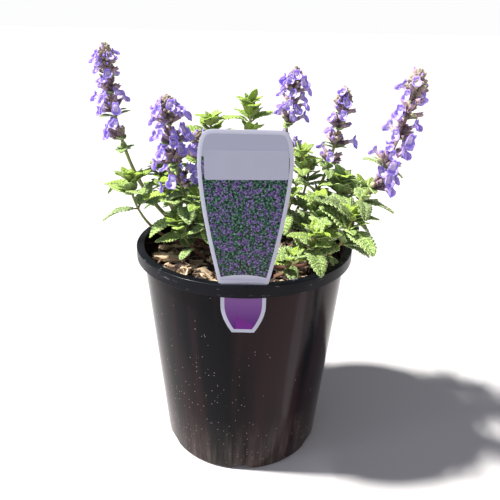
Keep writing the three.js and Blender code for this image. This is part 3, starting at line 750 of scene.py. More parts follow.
@dataclass(frozen=True)
class CatmintPetal(Finish):
    """A thin violet-blue petal: white in the throat with dark spots, a lilac-pink tube outside.

    It reads "place": below 0 in the tube, then 0 at the throat to 1 at the edge of a lobe, the
    share of a half turn from the upper side, and the floret's tone.
    """

    violet: str = "#8c7ad8"
    deep: str = "#6650b8"
    edge: str = "#9684e4"
    throat: str = "#d8d0f0"
    tube: str = "#b79bc9"
    spot: str = "#4f2f8f"

    def paint(self, add: Add) -> dict[str, Any]:
        """Throat, lobes and edges by their share outwards, with spots on the lower lip.

        Args:
            add: Adds a node.

        Returns:
            What the shader's inputs get.
        """
        place = add("Attribute", attribute_name="place").outputs["Vector"]
        outwards, around, tone = add("SeparateXYZ", place).outputs
        outer = add("MapRange", outwards, 0.45, 1.0)
        inner = add("MapRange", outwards, 0.05, 0.56, 0.9, 0.0)
        in_tube = add("MapRange", outwards, -0.3, 0.0, 1.0, 0.0)
        cells = add("TexVoronoi", place, 7.0)
        dots = add("Math", cells, 0.26, operation="LESS_THAN")
        aside = add("Math", around, operation="ABSOLUTE")
        low = add("Math", aside, 0.6, operation="GREATER_THAN")
        band = add("Math", outwards, 0.3, 0.26, operation="COMPARE")
        where = add("Math", low, band, operation="MULTIPLY")
        spots = add("Math", where, dots, operation="MULTIPLY")
        colour = add("Mix", tone, self.deep, self.violet, data_type="RGBA")
        zones = ((outer, self.edge), (inner, self.throat), (in_tube, self.tube), (spots, self.spot))
        for zone, paint in zones:
            colour = add("Mix", zone, colour, paint, data_type="RGBA")
        return {
            "Base Color": colour,
            "Roughness": 0.5,
            "Sheen Weight": 0.12,
            "Subsurface Weight": 0.4,
            "Subsurface Radius": (0.8, 0.7, 1.0),
            "Subsurface Scale": 0.002,
        }


@dataclass(frozen=True)
class PlantDown(Finish):
    """The short pale hairs of stems and calyces, a little darker at their roots."""

    pale: str = "#d9dcc4"
    root: str = "#a3a580"

    def paint(self, add: Add) -> dict[str, Any]:
        """Two colours along each hair."""
        along = add("SeparateXYZ", add("Attribute", attribute_name="place").outputs["Vector"])
        return {"Base Color": add("Mix", along, self.root, self.pale, data_type="RGBA"), "Roughness": 0.5}


@dataclass(frozen=True)
class StudioFloor(Finish):
    """Matt pale paint."""

    pale: str = "#b0b0b3"

    def paint(self, add: Add) -> dict[str, Any]:
        """One plain tone."""
        return {"Base Color": self.pale, "Roughness": 0.9}


# ------------------------------------------------------------------ shapes


class Tissue(IntEnum):
    """The material slots that every piece of the plant has."""

    LEAF = 0
    UNDERSIDE = 1
    STEM = 2
    CALYX = 3
    PETAL = 4
    DOWN = 5


TISSUES = (DownyLeaf(), LeafBack(), SquareStem(), RibbedCalyx(), CatmintPetal(), PlantDown())
Corner = tuple[Vector, Sequence[float]]


@dataclass(frozen=True)
class Mould:
    """A small mesh to cast many times, with a mark for each of its corners."""

    mesh: bpy.types.Mesh
    marks: tuple[Vector, ...]


class Shape:
    """A piece in the making, in millimetres, with the marks that its finishes read."""

    def __init__(self, mesh: bpy.types.Mesh | None = None) -> None:
        """Start with a mesh, or with nothing.

        Args:
            mesh: What to start with.
        """
        self.bm: BMesh = bmesh.new()
        if mesh:
            self.bm.from_mesh(mesh)
        self.bm.verts.layers.float_vector.new("place")
        self.bm.verts.layers.float.new("youth")

    def mark(self, vert: BMVert, place: Sequence[float], youth: float = 0.0) -> None:
        """Give a corner what its finish reads."""
        vert[self.bm.verts.layers.float_vector["place"]] = Vector(place)
        vert[self.bm.verts.layers.float["youth"]] = youth

    def pour(self, mould: Mould) -> list[BMVert]:
        """Add a mould's mesh as it is.

        Args:
            mould: What to add.

        Returns:
            Its corners, in the mould's order.
        """
        start = len(self.bm.verts)
        self.bm.from_mesh(mould.mesh)
        self.bm.verts.ensure_lookup_table()
        return self.bm.verts[start:]

    def cast(self, mould: Mould, matrix: Matrix, tone: float = 0.0, youth: float = 0.0) -> None:
        """Add a copy of a mould.

        Args:
            mould: What to copy.
            matrix: Where it goes.
            tone: Third mark of each corner.
            youth: Youth of each corner.
        """
        for vert, mark in zip(self.pour(mould), mould.marks):
            vert.co = matrix @ vert.co
            self.mark(vert, (mark.x, mark.y, tone), youth)

    def spin(self, section: Sequence[Vector], steps: int) -> None:
        """Turn a section once round the z axis.

        Args:
            section: Its points, in x and z.
            steps: How many sides the turned shape has.
        """
        verts = [self.bm.verts.new((point.x, 0, point.y)) for point in section]
        edges = [self.bm.edges.new(pair) for pair in zip(verts, verts[1:])]
        bmesh.ops.spin(
            self.bm, geom=[*verts, *edges], cent=(0, 0, 0), axis=UP, dvec=(0, 0, 0), angle=math.tau,
            steps=steps, use_merge=True,
        )
        bmesh.ops.remove_doubles(self.bm, verts=self.bm.verts, dist=0.01)
        bmesh.ops.recalc_face_normals(self.bm, faces=self.bm.faces)

    def bevel(self, edges: Sequence[BMEdge], offset: float, segments: int) -> None:
        """Round edges off.

        Args:
            edges: The edges.
            offset: How wide the rounding is on each side.
            segments: Of how many faces it is.
        """
        bmesh.ops.bevel(
            self.bm, geom=edges, offset=offset, segments=segments, profile=0.5, affect="EDGES", material=-1
        )

    def edges_round(self, ring: Sequence[BMVert]) -> list[BMEdge]:
        """The edges of a ring of corners."""
        return [self.bm.edges.get(pair) for pair in zip(ring, [*ring[1:], ring[0]])]

    def extrude(self, ring: Sequence[BMVert], tissue: int) -> list[BMVert]:
        """Extrude a ring of corners in its place.

        Args:
            ring: The ring to start from, in order.
            tissue: Material slot of the new faces.

        Returns:
            The new ring, in the same order.
        """
        made = bmesh.ops.extrude_edge_only(self.bm, edges=self.edges_round(ring))["geom"]
        fresh = {item for item in made if isinstance(item, BMVert)}
        for item in made:
            if isinstance(item, BMFace):
                item.material_index = tissue
        return [next(e.other_vert(v) for e in v.link_edges if e.other_vert(v) in fresh) for v in ring]

    def tube(self, rings: Sequence[Sequence[Corner]], tissue: int = 0, youth: float = 0.0) -> None:
        """Make a closed tube through rings of places.

        Args:
            rings: For each ring, one number of places with their marks.
            tissue: Material slot of the tube.
            youth: Youth of its corners.
        """
        grown = [bmesh.ops.create_circle(self.bm, segments=len(rings[0]), radius=1.0)["verts"]]
        for ring in rings:
            if ring is not rings[0]:
                grown.append(self.extrude(grown[-1], tissue))
            for vert, (place, mark) in zip(grown[-1], ring):
                vert.co = place
                self.mark(vert, mark, youth)
        for ring in (grown[0], grown[-1]):
            bmesh.ops.edgeloop_fill(self.bm, edges=self.edges_round(ring), mat_nr=tissue)
        faces = {face for ring in grown for vert in ring for face in vert.link_faces}
        bmesh.ops.recalc_face_normals(self.bm, faces=list(faces))

    def mould(self, tissue: int | None = None) -> Mould:
        """Keep the mesh as a mould.

        Args:
            tissue: Material slot for all its faces, if it isn't set yet.

        Returns:
            The mould.
        """
        layer = self.bm.verts.layers.float_vector["place"]
        marks = tuple(vert[layer].copy() for vert in self.bm.verts)
        if tissue is not None:
            for face in self.bm.faces:
                face.material_index = tissue
        mesh = bpy.data.meshes.new("mould")
        self.bm.to_mesh(mesh)
        self.bm.free()
        for name in ("place", "youth"):
            mesh.attributes.remove(mesh.attributes[name])
        return Mould(mesh, marks)

    def finish(
        self,
        name: str,
        finishes: Sequence[Finish],
        slot: str,
        nodes: Sequence[str] = (),
        smooth: float = 180.0,
    ) -> None:
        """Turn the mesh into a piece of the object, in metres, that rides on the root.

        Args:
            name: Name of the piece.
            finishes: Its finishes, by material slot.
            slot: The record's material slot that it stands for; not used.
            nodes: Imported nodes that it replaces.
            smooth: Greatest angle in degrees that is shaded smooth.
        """
        bmesh.ops.transform(self.bm, matrix=Matrix.Scale(MM, 4), verts=self.bm.verts)
        mesh = bpy.data.meshes.new(name)
        self.bm.to_mesh(mesh)
        self.bm.free()
        mesh.shade_smooth()
        if smooth < 180:
            mesh.set_sharp_from_angle(angle=math.radians(smooth))
        for finish in finishes:
            mesh.materials.append(finish.material())
        piece = stand(name, mesh)
        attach(piece, "root")
        if nodes:
            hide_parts(*nodes)
        LOG.info("%s: %d faces", name, len(mesh.polygons))


def stand(name: str, data: bpy.types.ID, place: Matrix = Matrix()) -> bpy.types.Object:
    """Put an object into the scene.

    Args:
        name: Its name.
        data: Its mesh, light or camera.
        place: Where it goes.

    Returns:
        The object.
    """
    thing = bpy.data.objects.new(name, data)
    thing.matrix_world = place
    bpy.context.scene.collection.objects.link(thing)
    return thing


def carved(shape: Shape, cutters: Iterator[Shape]) -> Shape:
    """Cut shapes out of a shape.

    Args:
        shape: What is cut; it is used up.
        cutters: Closed shapes to take away; they are used up.

    Returns:
        The cut shape.
    """
    objects = []
    for part in (shape, *cutters):
        mesh = bpy.data.meshes.new("cut")
        part.bm.to_mesh(mesh)
        part.bm.free()
        objects.append(stand("cut", mesh))
    body, *knives = objects
    for knife in knives:
        cut = body.modifiers.new("cut", "BOOLEAN")
        cut.object = knife
        cut.operation = "DIFFERENCE"
        cut.solver = "EXACT"
    graph = bpy.context.evaluated_depsgraph_get()
    result = Shape(bpy.data.meshes.new_from_object(body.evaluated_get(graph)))
    for used in objects:
        bpy.data.objects.remove(used)
    return result


# ------------------------------------------------------------------ pot and label


@dataclass(frozen=True)
class NurseryPot:
    """A round injection-moulded pot: tapering wall, flat rim with a skirt, notched foot ring."""

    height: float = 155.0
    rim_radius: float = 75.0
    rim_thickness: float = 1.4
    rim_round: float = 0.8
    skirt_height: float = 8.0
    skirt_thickness: float = 0.9
    skirt_edges: tuple[float, float] = (0.25, 0.3)
    mouth_edge: float = 0.4
    wall: float = 1.4
    top_radius: float = 71.2
    foot_radius: float = 58.2
    foot_round: float = 1.8
    foot_round_height: float = 3.0
    foot_width: float = 7.0
    foot_rise: float = 5.5
    floor: float = 1.5
    cove: float = 3.0
    notches: int = 6
    notch_width: float = 21.0
    notch_top: float = 10.0
    notch_rise: float = 4.2
    notch_round: float = 2.2
    drains: int = 6
    drain_radius: float = 4.5
    drain_ring: float = 41.0
    slot_width: float = 27.6
    slot_depth: float = 1.2
    steps: int = 144

    def wall_radius(self, height: float) -> float:
        """Outside radius of the wall at a height."""
        share = (height - self.foot_round_height) / (self.height - self.foot_round_height)
        return self.foot_radius + (self.top_radius - self.foot_radius) * share

    def profile(self) -> list[Vector]:
        """Draw half of the pot's section, from the axis under the floor round to the axis over it.

        Returns:
            Its points, in x and z.
        """
        foot_inner = self.foot_radius - self.foot_round - self.foot_width
        floor_top = self.foot_rise + self.floor
        under_rim = self.height - self.rim_thickness
        skirt_inner = self.rim_radius - self.skirt_thickness
        skirt_foot = self.height - self.skirt_height
        inner = self.wall_radius(self.height) - self.wall
        inside, outside = self.skirt_edges
        points = points_at(
            (0, self.foot_rise),
            (foot_inner, self.foot_rise),
            (foot_inner, 0),
            (self.foot_radius - self.foot_round, 0),
        )
        curve_on(points, (self.foot_radius - 0.25, 0.1), (self.foot_radius, self.foot_round_height), 5)
        points += points_at(
            *((self.wall_radius(share * under_rim), share * under_rim) for share in (0.35, 0.7, 1)),
            (skirt_inner, under_rim),
            (skirt_inner, skirt_foot + inside),
            (skirt_inner + inside, skirt_foot),
            (self.rim_radius - outside, skirt_foot),
            (self.rim_radius, skirt_foot + outside),
            (self.rim_radius, self.height - self.rim_round),
        )
        curve_on(points, (self.rim_radius, self.height), (self.rim_radius - self.rim_round, self.height), 5)
        return points + points_at(
            (inner + self.mouth_edge, self.height),
            (inner, self.height - self.mouth_edge),
            (self.wall_radius(floor_top + self.cove) - self.wall, floor_top + self.cove),
            (self.wall_radius(floor_top) - self.wall - self.cove, floor_top),
            (0, floor_top),
        )

    def notch(self) -> Shape:
        """Make what one notch takes out of the foot ring.

        Returns:
            A block with a rounded top, narrower upwards.
        """
        notch = Shape()
        bmesh.ops.create_cube(notch.bm, size=1.0)
        inner = self.foot_radius - self.foot_round - self.foot_width - 2
        for vert in notch.bm.verts:
            is_top = vert.co.z > 0
            half = (self.notch_top if is_top else self.notch_width) / 2
            reach = -inner if vert.co.y > 0 else -inner - 2 * self.foot_width
            vert.co = Vector((math.copysign(half, vert.co.x), reach, self.notch_rise if is_top else -1.0))
        tops = [e for e in notch.bm.edges if all(v.co.z > 0 for v in e.verts) and span(e, 0) < 1]
        notch.bevel(tops, self.notch_round, 4)
        return notch

    def cutters(self) -> Iterator[Shape]:
        """Make what is cut out of the pot.

        Yields:
            The label's slot, the foot's notches and the drain holes.
        """
        slot = Shape()
        across = Matrix.Diagonal((self.slot_width, self.slot_depth, 4 * self.rim_thickness, 1))
        at = Matrix.Translation((PlantLabel.centre, PlantLabel.y, self.height))
        bmesh.ops.create_cube(slot.bm, size=1.0, matrix=at @ across)
        yield slot
        for i in range(self.notches):
            notch = self.notch()
            turn = Matrix.Rotation(math.tau * i / self.notches, 3, "Z")
            bmesh.ops.rotate(notch.bm, verts=notch.bm.verts, matrix=turn)
            yield notch
        for i in range(self.drains):
            drain = Shape()
            turn = Matrix.Rotation(math.tau * (i + 0.5) / self.drains, 4, "Z")
            at = Matrix.Translation((0, -self.drain_ring, self.foot_rise + self.floor))
            radius = self.drain_radius
            bmesh.ops.create_cone(
                drain.bm, cap_ends=True, segments=24, radius1=radius, radius2=radius, depth=4 * self.floor,
                matrix=turn @ at,
            )
            yield drain

    def build(self) -> None:
        """Make the pot, glossy below and scuffed on its rim and skirt."""
        turned = Shape()
        turned.spin(self.profile(), self.steps)
        shape = carved(turned, self.cutters())
        rim_from = self.height - self.skirt_height - 0.1
        for face in shape.bm.faces:
            x, y, z = face.calc_center_median()
            on_rim = z > rim_from and math.hypot(x, y) > self.wall_radius(z) + 0.3
            face.material_index = int(on_rim or z > self.height - 0.5)
        finishes = (MouldedPolypropylene(), ScuffedPolypropylene())
        shape.finish("nursery_pot", finishes, "pot_plastic", ("pot",), smooth=32)


@dataclass(frozen=True)
class PlantLabel:
    """A push-in label: a shield-shaped plate over the rim, its tail through the rim's slot."""

    y: ClassVar[float] = -71.8
    centre: ClassVar[float] = 0.5
    thickness: float = 0.6
    cut_edge: float = 0.12
    tail_foot: float = 122.5
    tail_tip_half: float = 6.75
    tail_tip_height: float = 10.0
    tail_bend: float = 141.0
    tail_half: float = 13.5
    shoulder: float = 155.3
    shoulder_half: float = 15.5
    shoulder_round: float = 4.0
    widest_at: float = 224.0
    widest_half: float = 25.8
    flank_bend: float = 24.0
    top_half: float = 22.0
    top: float = 244.2
    top_round: float = 5.0
    border: float = 2.1
    tail_border: float = 2.2
    sticker_size: tuple[float, float] = (45.2, 15.8)
    sticker_at: tuple[float, float] = (0.55, 225.4)
    sticker_tilt: float = -0.9
    sticker_thickness: float = 0.22
    sticker_round: float = 1.4

    def half_outline(self) -> list[Vector]:
        """Draw the right half of the label's outline, from its foot to its top.

        Returns:
            Its points, in x and z.
        """
        points = points_at((self.tail_tip_half, self.tail_foot))
        tip = (self.tail_half, self.tail_foot + self.tail_tip_height)
        curve_on(points, tip, (self.tail_half, self.tail_bend), 8)
        points += points_at(
            (self.tail_half, self.shoulder),
            (self.shoulder_half - 1, self.shoulder),
            (self.shoulder_half, self.shoulder + self.shoulder_round),
        )
        flank = (self.widest_half - 1, self.widest_at - self.flank_bend)
        curve_on(points, flank, (self.widest_half, self.widest_at), 10)
        curve_on(points, (self.widest_half, self.top - self.top_round), (self.top_half, self.top - 1.5), 7)
        curve_on(points, (self.top_half - 2, self.top), (self.top_half - self.top_round, self.top), 4)
        return points

    def plate(self) -> None:
        """The plate, with its printed areas inset from its cut edge."""
        shape = Shape()
        right = self.half_outline()
        outline = [(p.x, 0, p.y) for p in right] + [(-p.x, 0, p.y) for p in reversed(right)]
        front = shape.bm.faces.new([shape.bm.verts.new(place) for place in outline])
        made = bmesh.ops.extrude_face_region(shape.bm, geom=[front])["geom"]
        back = [item for item in made if isinstance(item, BMVert)]
        bmesh.ops.translate(shape.bm, verts=back, vec=(0, self.thickness, 0))
        bmesh.ops.recalc_face_normals(shape.bm, faces=shape.bm.faces)
        shape.bevel([edge for edge in shape.bm.edges if span(edge, 1) < 0.01], self.cut_edge, 2)
        for height in (self.shoulder + 0.13, self.shoulder - 0.4):
            everything = [*shape.bm.verts, *shape.bm.edges, *shape.bm.faces]
            bmesh.ops.bisect_plane(shape.bm, geom=everything, plane_co=(0, 0, height), plane_no=UP)
        fronts = [f for f in shape.bm.faces if f.normal.y < -0.99 and f.calc_area() > 100]
        for face in fronts:
            in_tail = face.calc_center_median().z < self.shoulder
            border = self.tail_border if in_tail else self.border
            bmesh.ops.inset_region(shape.bm, faces=[face], thickness=border, use_even_offset=True)
            face.material_index = 1
        bmesh.ops.recalc_face_normals(shape.bm, faces=shape.bm.faces)
        at = Vector((self.centre, self.y - self.thickness / 2, 0))
        bmesh.ops.translate(shape.bm, verts=shape.bm.verts, vec=at)
        finishes = (PolystyreneSheet(), LithoPrint())
        shape.finish("label_plate", finishes, "label_card", ("plant_label",), smooth=30)

    def sticker(self) -> None:
        """The blank sticker, a little askew, across the top of the print."""
        shape = Shape()
        width, height = self.sticker_size
        size = Matrix.Diagonal((width, self.sticker_thickness, height, 1))
        bmesh.ops.create_cube(shape.bm, size=1.0, matrix=size)
        shape.bevel([edge for edge in shape.bm.edges if span(edge, 1) > 0.05], self.sticker_round, 5)
        turn = Matrix.Rotation(math.radians(self.sticker_tilt), 4, "Y")
        front = self.y - self.thickness / 2 - self.sticker_thickness / 2
        at = Matrix.Translation((self.centre + self.sticker_at[0], front, self.sticker_at[1]))
        bmesh.ops.transform(shape.bm, matrix=at @ turn, verts=shape.bm.verts)
        shape.finish("label_sticker", (VinylSticker(),), "label_card", smooth=30)

    def build(self) -> None:
        """Make the plate and the sticker."""
        self.plate()
        self.sticker()


# ------------------------------------------------------------------ potting mix and bark


@dataclass(frozen=True)
class PottingMix:
    """The filling of the pot: a low mound at the crown and uneven mulch round it."""

    level: ClassVar[float] = 141.0
    mound: ClassVar[float] = 3.0
    mound_radius: ClassVar[float] = 34.0
    mulch_start: ClassVar[float] = 12.0
    floor_top: float = 7.3
    gap: float = 0.3
    edge_fade: float = 4.0
    rings: int = 34
    steps: int = 120
    lump: float = 0.7
    crumbs: int = 620
    flakes: int = 330
    flake_moulds: int = 4
    fibres: int = 150
    fibre_steps: int = 5

    @classmethod
    def height_at(cls, x: float, y: float) -> float:
        """Find the height of the potting mix at a place, without its crumbs.

        Args:
            x: The place, to the right.
            y: The place, to the back.

        Returns:
            The height.
        """
        r = math.hypot(x, y)
        mound = cls.mound * max(0.0, 1 - (r / cls.mound_radius) ** 2)
        rough = min(1.0, max(0.0, (r - cls.mound_radius) / cls.mulch_start))
        coarse = 1.1 * math.sin(0.23 * x + 1.3) * math.cos(0.19 * y - 0.4)
        fine = 0.7 * math.sin(0.37 * x - 0.31 * y)
        return cls.level + mound + rough * (coarse + fine)

    def edge(self) -> float:
        """Radius of the potting mix at its top."""
        return NurseryPot().wall_radius(self.level) - NurseryPot.wall - self.gap

    def fill(self) -> None:
        """The filling itself, with a lumpy top."""
        pot = NurseryPot()
        inset = pot.wall + self.gap
        cove = pot.cove + 0.5
        edge = self.edge()
        outline = points_at(
            (0, self.floor_top),
            (pot.wall_radius(self.floor_top) - inset - cove, self.floor_top),
            (pot.wall_radius(self.floor_top + cove) - inset, self.floor_top + cove),
            *((edge * (1 - i / self.rings), self.level) for i in range(self.rings + 1)),
        )
        shape = Shape()
        shape.spin(outline, self.steps)
        for vert in shape.bm.verts:
            x, y, z = vert.co
            if z > self.level - 1:
                fade = min(1.0, (edge - math.hypot(x, y)) / self.edge_fade)
                lumps = self.lump * noise.fractal(vert.co * 0.28, 0.6, 2.0, 4)
                vert.co.z += fade * (self.height_at(x, y) - self.level + lumps)
        bmesh.ops.recalc_face_normals(shape.bm, faces=shape.bm.faces)
        shape.finish("potting_mix_fill", (CompostedBark(),), "potting_mix", ("potting_mix",), smooth=60)

    def spot(self, key: int, margin: float) -> tuple[float, float]:
        """Find a place on the potting mix, evenly spread.

        Args:
            key: Number of the piece to place.
            margin: Distance kept from the wall.

        Returns:
            The place, in x and y.
        """
        reach = (self.edge() - margin) * math.sqrt(draw(key, 41))
        turn = math.tau * draw(key, 42)
        return reach * math.cos(turn), reach * math.sin(turn)

    def crumb(self) -> Mould:
        """Make a rough crumb, one millimetre across.

        Returns:
            The mould.
        """
        shape = Shape()
        bmesh.ops.create_icosphere(shape.bm, subdivisions=1, radius=0.5)
        for i, vert in enumerate(shape.bm.verts):
            vert.co *= 1 + 0.3 * sway(i, 31)
            shape.mark(vert, (vert.co.x, vert.co.y, 0))
        return shape.mould()

    def flake(self, key: int) -> Mould:
        """Make a ragged flake of bark, one unit long, wide and thick.

        Args:
            key: Number of the mould.

        Returns:
            The mould.
        """
        shape = Shape()
        bmesh.ops.create_cube(shape.bm, size=1.0)
        for axis, cuts in enumerate((2, 1)):
            edges = [edge for edge in shape.bm.edges if span(edge, axis) > 0.5]
            bmesh.ops.subdivide_edges(shape.bm, edges=edges, cuts=cuts)
        for i, vert in enumerate(shape.bm.verts):
            x, y, z = vert.co
            taper = 1 - 0.5 * abs(x) * draw(key, i, 32)
            x *= 1 + 0.22 * sway(key, i, 33)
            vert.co = (x, y * taper + 0.1 * sway(key, i, 34), z * taper + 0.16 * sway(key, i, 35))
            shape.mark(vert, (8 * vert.co.x, 4 * vert.co.y, 0))
        return shape.mould()

    def litter(self) -> None:
        """Crumbs, small flakes of bark and loose fibres over the top."""
        shape = Shape()
        crumb = self.crumb()
        for i in range(self.crumbs):
            x, y = self.spot(1000 + i, 1.5)
            size = 0.6 + 1.3 * draw(i, 43) ** 2
            turn = Matrix.Rotation(6.28 * draw(i, 44), 4, Vector((sway(i, 45), sway(i, 46), 1)).normalized())
            at = Matrix.Translation((x, y, self.height_at(x, y) + 0.3 * size))
            shape.cast(crumb, at @ turn @ Matrix.Scale(size, 4), draw(i, 47), 0.35 * draw(i, 48))
        moulds = [self.flake(key) for key in range(self.flake_moulds)]
        for i in range(self.flakes):
            x, y = self.spot(2000 + i, 4.0)
            length = 2.5 + 6.5 * draw(i, 51) ** 1.6
            size = Matrix.Diagonal((length, length * (0.3 + 0.25 * draw(i, 52)), 0.5 + 0.13 * length, 1))
            tilt = Matrix.Rotation(0.5 * sway(i, 53), 4, "Y") @ Matrix.Rotation(0.4 * sway(i, 54), 4, "X")
            turn = Matrix.Rotation(6.28 * draw(i, 55), 4, "Z")
            at = Matrix.Translation((x, y, self.height_at(x, y) + 0.7 + 0.5 * draw(i, 56)))
            mould = moulds[i % self.flake_moulds]
            shape.cast(mould, at @ turn @ tilt @ size, draw(i, 57), draw(i, 58) ** 0.7)
        for i in range(self.fibres):
            self.fibre(shape, i)
        shape.finish("mulch_litter", (SplitPineBark(),), "bark", smooth=35)

    def fibre(self, shape: Shape, key: int) -> None:
        """Lay one loose fibre on the potting mix.

        Args:
            shape: The litter.
            key: Number of the fibre.
        """
        x, y = self.spot(3000 + key, 8.0)
        turn = 6.28 * draw(key, 61)
        length = 4 + 9 * draw(key, 62)
        bend = 1.2 * sway(key, 63)
        radius = 0.16 + 0.16 * draw(key, 64)
        rings = []
        for step in range(self.fibre_steps + 1):
            share = step / self.fibre_steps - 0.5
            heading = turn + bend * share
            px = x + length * share * math.cos(heading)
            py = y + length * share * math.sin(heading)
            lift = 0.5 + 1.4 * draw(key, 65) * (1 - 4 * share**2)
            middle = Vector((px, py, self.height_at(px, py) + lift))
            aside = Vector((-math.sin(heading), math.cos(heading), 0))
            mark = (length * step / self.fibre_steps, 0, 0)
            rings.append([(middle + way * radius, mark) for way in (aside, UP, -aside)])
        shape.tube(rings, youth=0.35 + 0.5 * draw(key, 66))

    def build(self) -> None:
        """Make the filling and its litter."""
        self.fill()
        self.litter()


@dataclass(frozen=True)
class BarkChip:
    """A large chip of split bark: its place, length, width, thickness, and its turns in degrees."""

    number: int
    at: tuple[float, float]
    size: Triple
    turn: float
    tilt: float
    ragged_ends: ClassVar[float] = 0.1
    ragged_sides: ClassVar[float] = 0.3
    ragged_faces: ClassVar[float] = 0.12
    cuts: ClassVar[tuple[int, int, int]] = (15, 7, 3)
    splinters: ClassVar[float] = 1.1
    ridges: ClassVar[float] = 0.45
    apart: ClassVar[float] = 40.0

    def corner(self, number: int) -> Vector:
        """Find one corner of the chip, from its middle.

        Args:
            number: 1 for the far end, plus 2 for the far side, plus 4 for the top.

        Returns:
            The corner.
        """
        key = self.number - 1
        along, across, through = ((number >> bit & 1) - 0.5 for bit in range(3))
        along += self.ragged_ends * sway(key, number, 1)
        across *= 1 - self.ragged_sides * draw(key, number, 2)
        through += self.ragged_faces * sway(key, number, 3)
        return Vector((self.size[0] * along, self.size[1] * across, self.size[2] * through))

    def inside(self, shares: Vector) -> Vector:
        """Find a place in the chip.

        Args:
            shares: Shares of its length, width and thickness.

        Returns:
            The place, from the chip's middle.
        """
        corners = [self.corner(number) for number in range(8)]
        long_edges = [a.lerp(b, shares.x) for a, b in zip(corners[::2], corners[1::2])]
        low, high = (a.lerp(b, shares.y) for a, b in zip(long_edges[::2], long_edges[1::2]))
        return low.lerp(high, shares.z)

    def build(self) -> None:
        """Make the chip: layered, ridged along its grain and splintered at its ends."""
        shape = Shape()
        bmesh.ops.create_cube(shape.bm, size=1.0)
        for axis, cuts in enumerate(self.cuts):
            edges = [edge for edge in shape.bm.edges if span(edge, axis) > 0.5]
            bmesh.ops.subdivide_edges(shape.bm, edges=edges, cuts=cuts, use_grid_fill=True)
        apart = self.apart * self.number
        youth = 0.86 + 0.14 * draw(self.number, 71)
        for vert in shape.bm.verts:
            shares = vert.co + Vector((0.5, 0.5, 0.5))
            place = self.inside(shares)
            end = abs(2 * shares.x - 1) ** 3
            side = abs(2 * shares.y - 1) ** 3
            layer = math.floor(3 * shares.z + 0.5)
            split = noise.noise(Vector((apart, 0.8 * place.y, 1.7 * layer)))
            edge = noise.noise(Vector((0.3 * place.x, apart, 1.9 * layer)))
            grain = noise.fractal(Vector((0.13 * place.x, 1.1 * place.y, apart)), 0.7, 2.0, 3)
            place.x += self.splinters * 2 * end * split
            place.y += self.splinters * side * edge
            place.z += self.ridges * grain * (2 * shares.z - 1)
            vert.co = place
            shape.mark(vert, (place.x + apart, place.y, place.z), youth)
        turn = Matrix.Rotation(math.radians(self.turn), 4, "Z")
        tilt = Matrix.Rotation(math.radians(self.tilt), 4, "Y")
        at = Matrix.Translation((*self.at, PottingMix.height_at(*self.at) + self.size[2] / 2))
        bmesh.ops.transform(shape.bm, matrix=at @ turn @ tilt, verts=shape.bm.verts)
        bmesh.ops.recalc_face_normals(shape.bm, faces=shape.bm.faces)
        node = f"bark_chip_{self.number}"
        shape.finish(f"split_bark_{self.number}", (SplitPineBark(),), "bark", (node,), smooth=40)


BARK_CHIPS = (
    BarkChip(1, (-52, -8), (19, 9, 3.2), 8, 8),
    BarkChip(2, (-38, -26), (17, 6, 3.6), 78, 16),
    BarkChip(3, (-57, 10), (13, 5, 3), 62, 20),
    BarkChip(4, (-22, -46), (14, 7, 3), 30, 8),
    BarkChip(5, (6, -55), (12, 6, 3), -14, 6),
    BarkChip(6, (50, -10), (15, 7, 3), 70, 8),
    BarkChip(7, (-27, 49), (15, 8, 3), 28, 6),
    BarkChip(8, (40, 42), (15, 8, 3), -45, 5),
)


# ------------------------------------------------------------------ growth


@dataclass(frozen=True)
class Attachment:
    """Where an organ leaves its stem, the way it points and the side that faces up."""

    origin: Vector
    forward: Vector
    face: Vector

    @cached_property
    def sideways(self) -> Vector:
        """Across the organ, to its right when its face is up."""
        return self.forward.cross(self.face)

    def matrix(self, ahead: float, wide: float, long: float) -> Matrix:
        """Find the place for a mould that points along its z axis with its upper side at y.

        Args:
            ahead: How far along the organ the mould starts.
            wide: Scale of the mould across and up.
            long: Scale along it.

        Returns:
            The matrix.
        """
        scale = Vector((wide, wide, long))
        columns = (-self.sideways * scale.x, self.face * scale.y, self.forward * scale.z)
        at = self.origin + self.forward * ahead
        return Matrix([(*column, 0) for column in columns] + [(*at, 1)]).transposed()


@dataclass(frozen=True)
class Axis:
    """A place on a stem with its directions."""

    point: Vector
    along: Vector
    inward: Vector
    across: Vector
    lift: ClassVar[float] = 0.75

    def organ(self, turn: float, spread: float, set_back: float) -> Attachment:
        """Attach an organ to the stem, with its face turned a little to the sky.

        Args:
            turn: Degrees round the stem.
            spread: Degrees from the stem's direction.
            set_back: How far behind the stem's middle it starts.

        Returns:
            The attachment.
        """
        side = self.across * math.cos(math.radians(turn)) + self.inward * math.sin(math.radians(turn))
        lean = math.radians(spread)
        forward = (self.along * math.cos(lean) + side * math.sin(lean)).normalized()
        face = self.along + UP * self.lift - forward * (forward.dot(self.along) + self.lift * forward.z)
        return Attachment(self.point - forward * set_back, forward, face.normalized())


@dataclass(frozen=True)
class Pair:
    """A pair of leaves across a stem: place, length, angles in degrees, rank and youth."""

    at: float
    length: float
    spread: float
    curl: float
    rank: int
    youth: float
    opening: float = 0.0


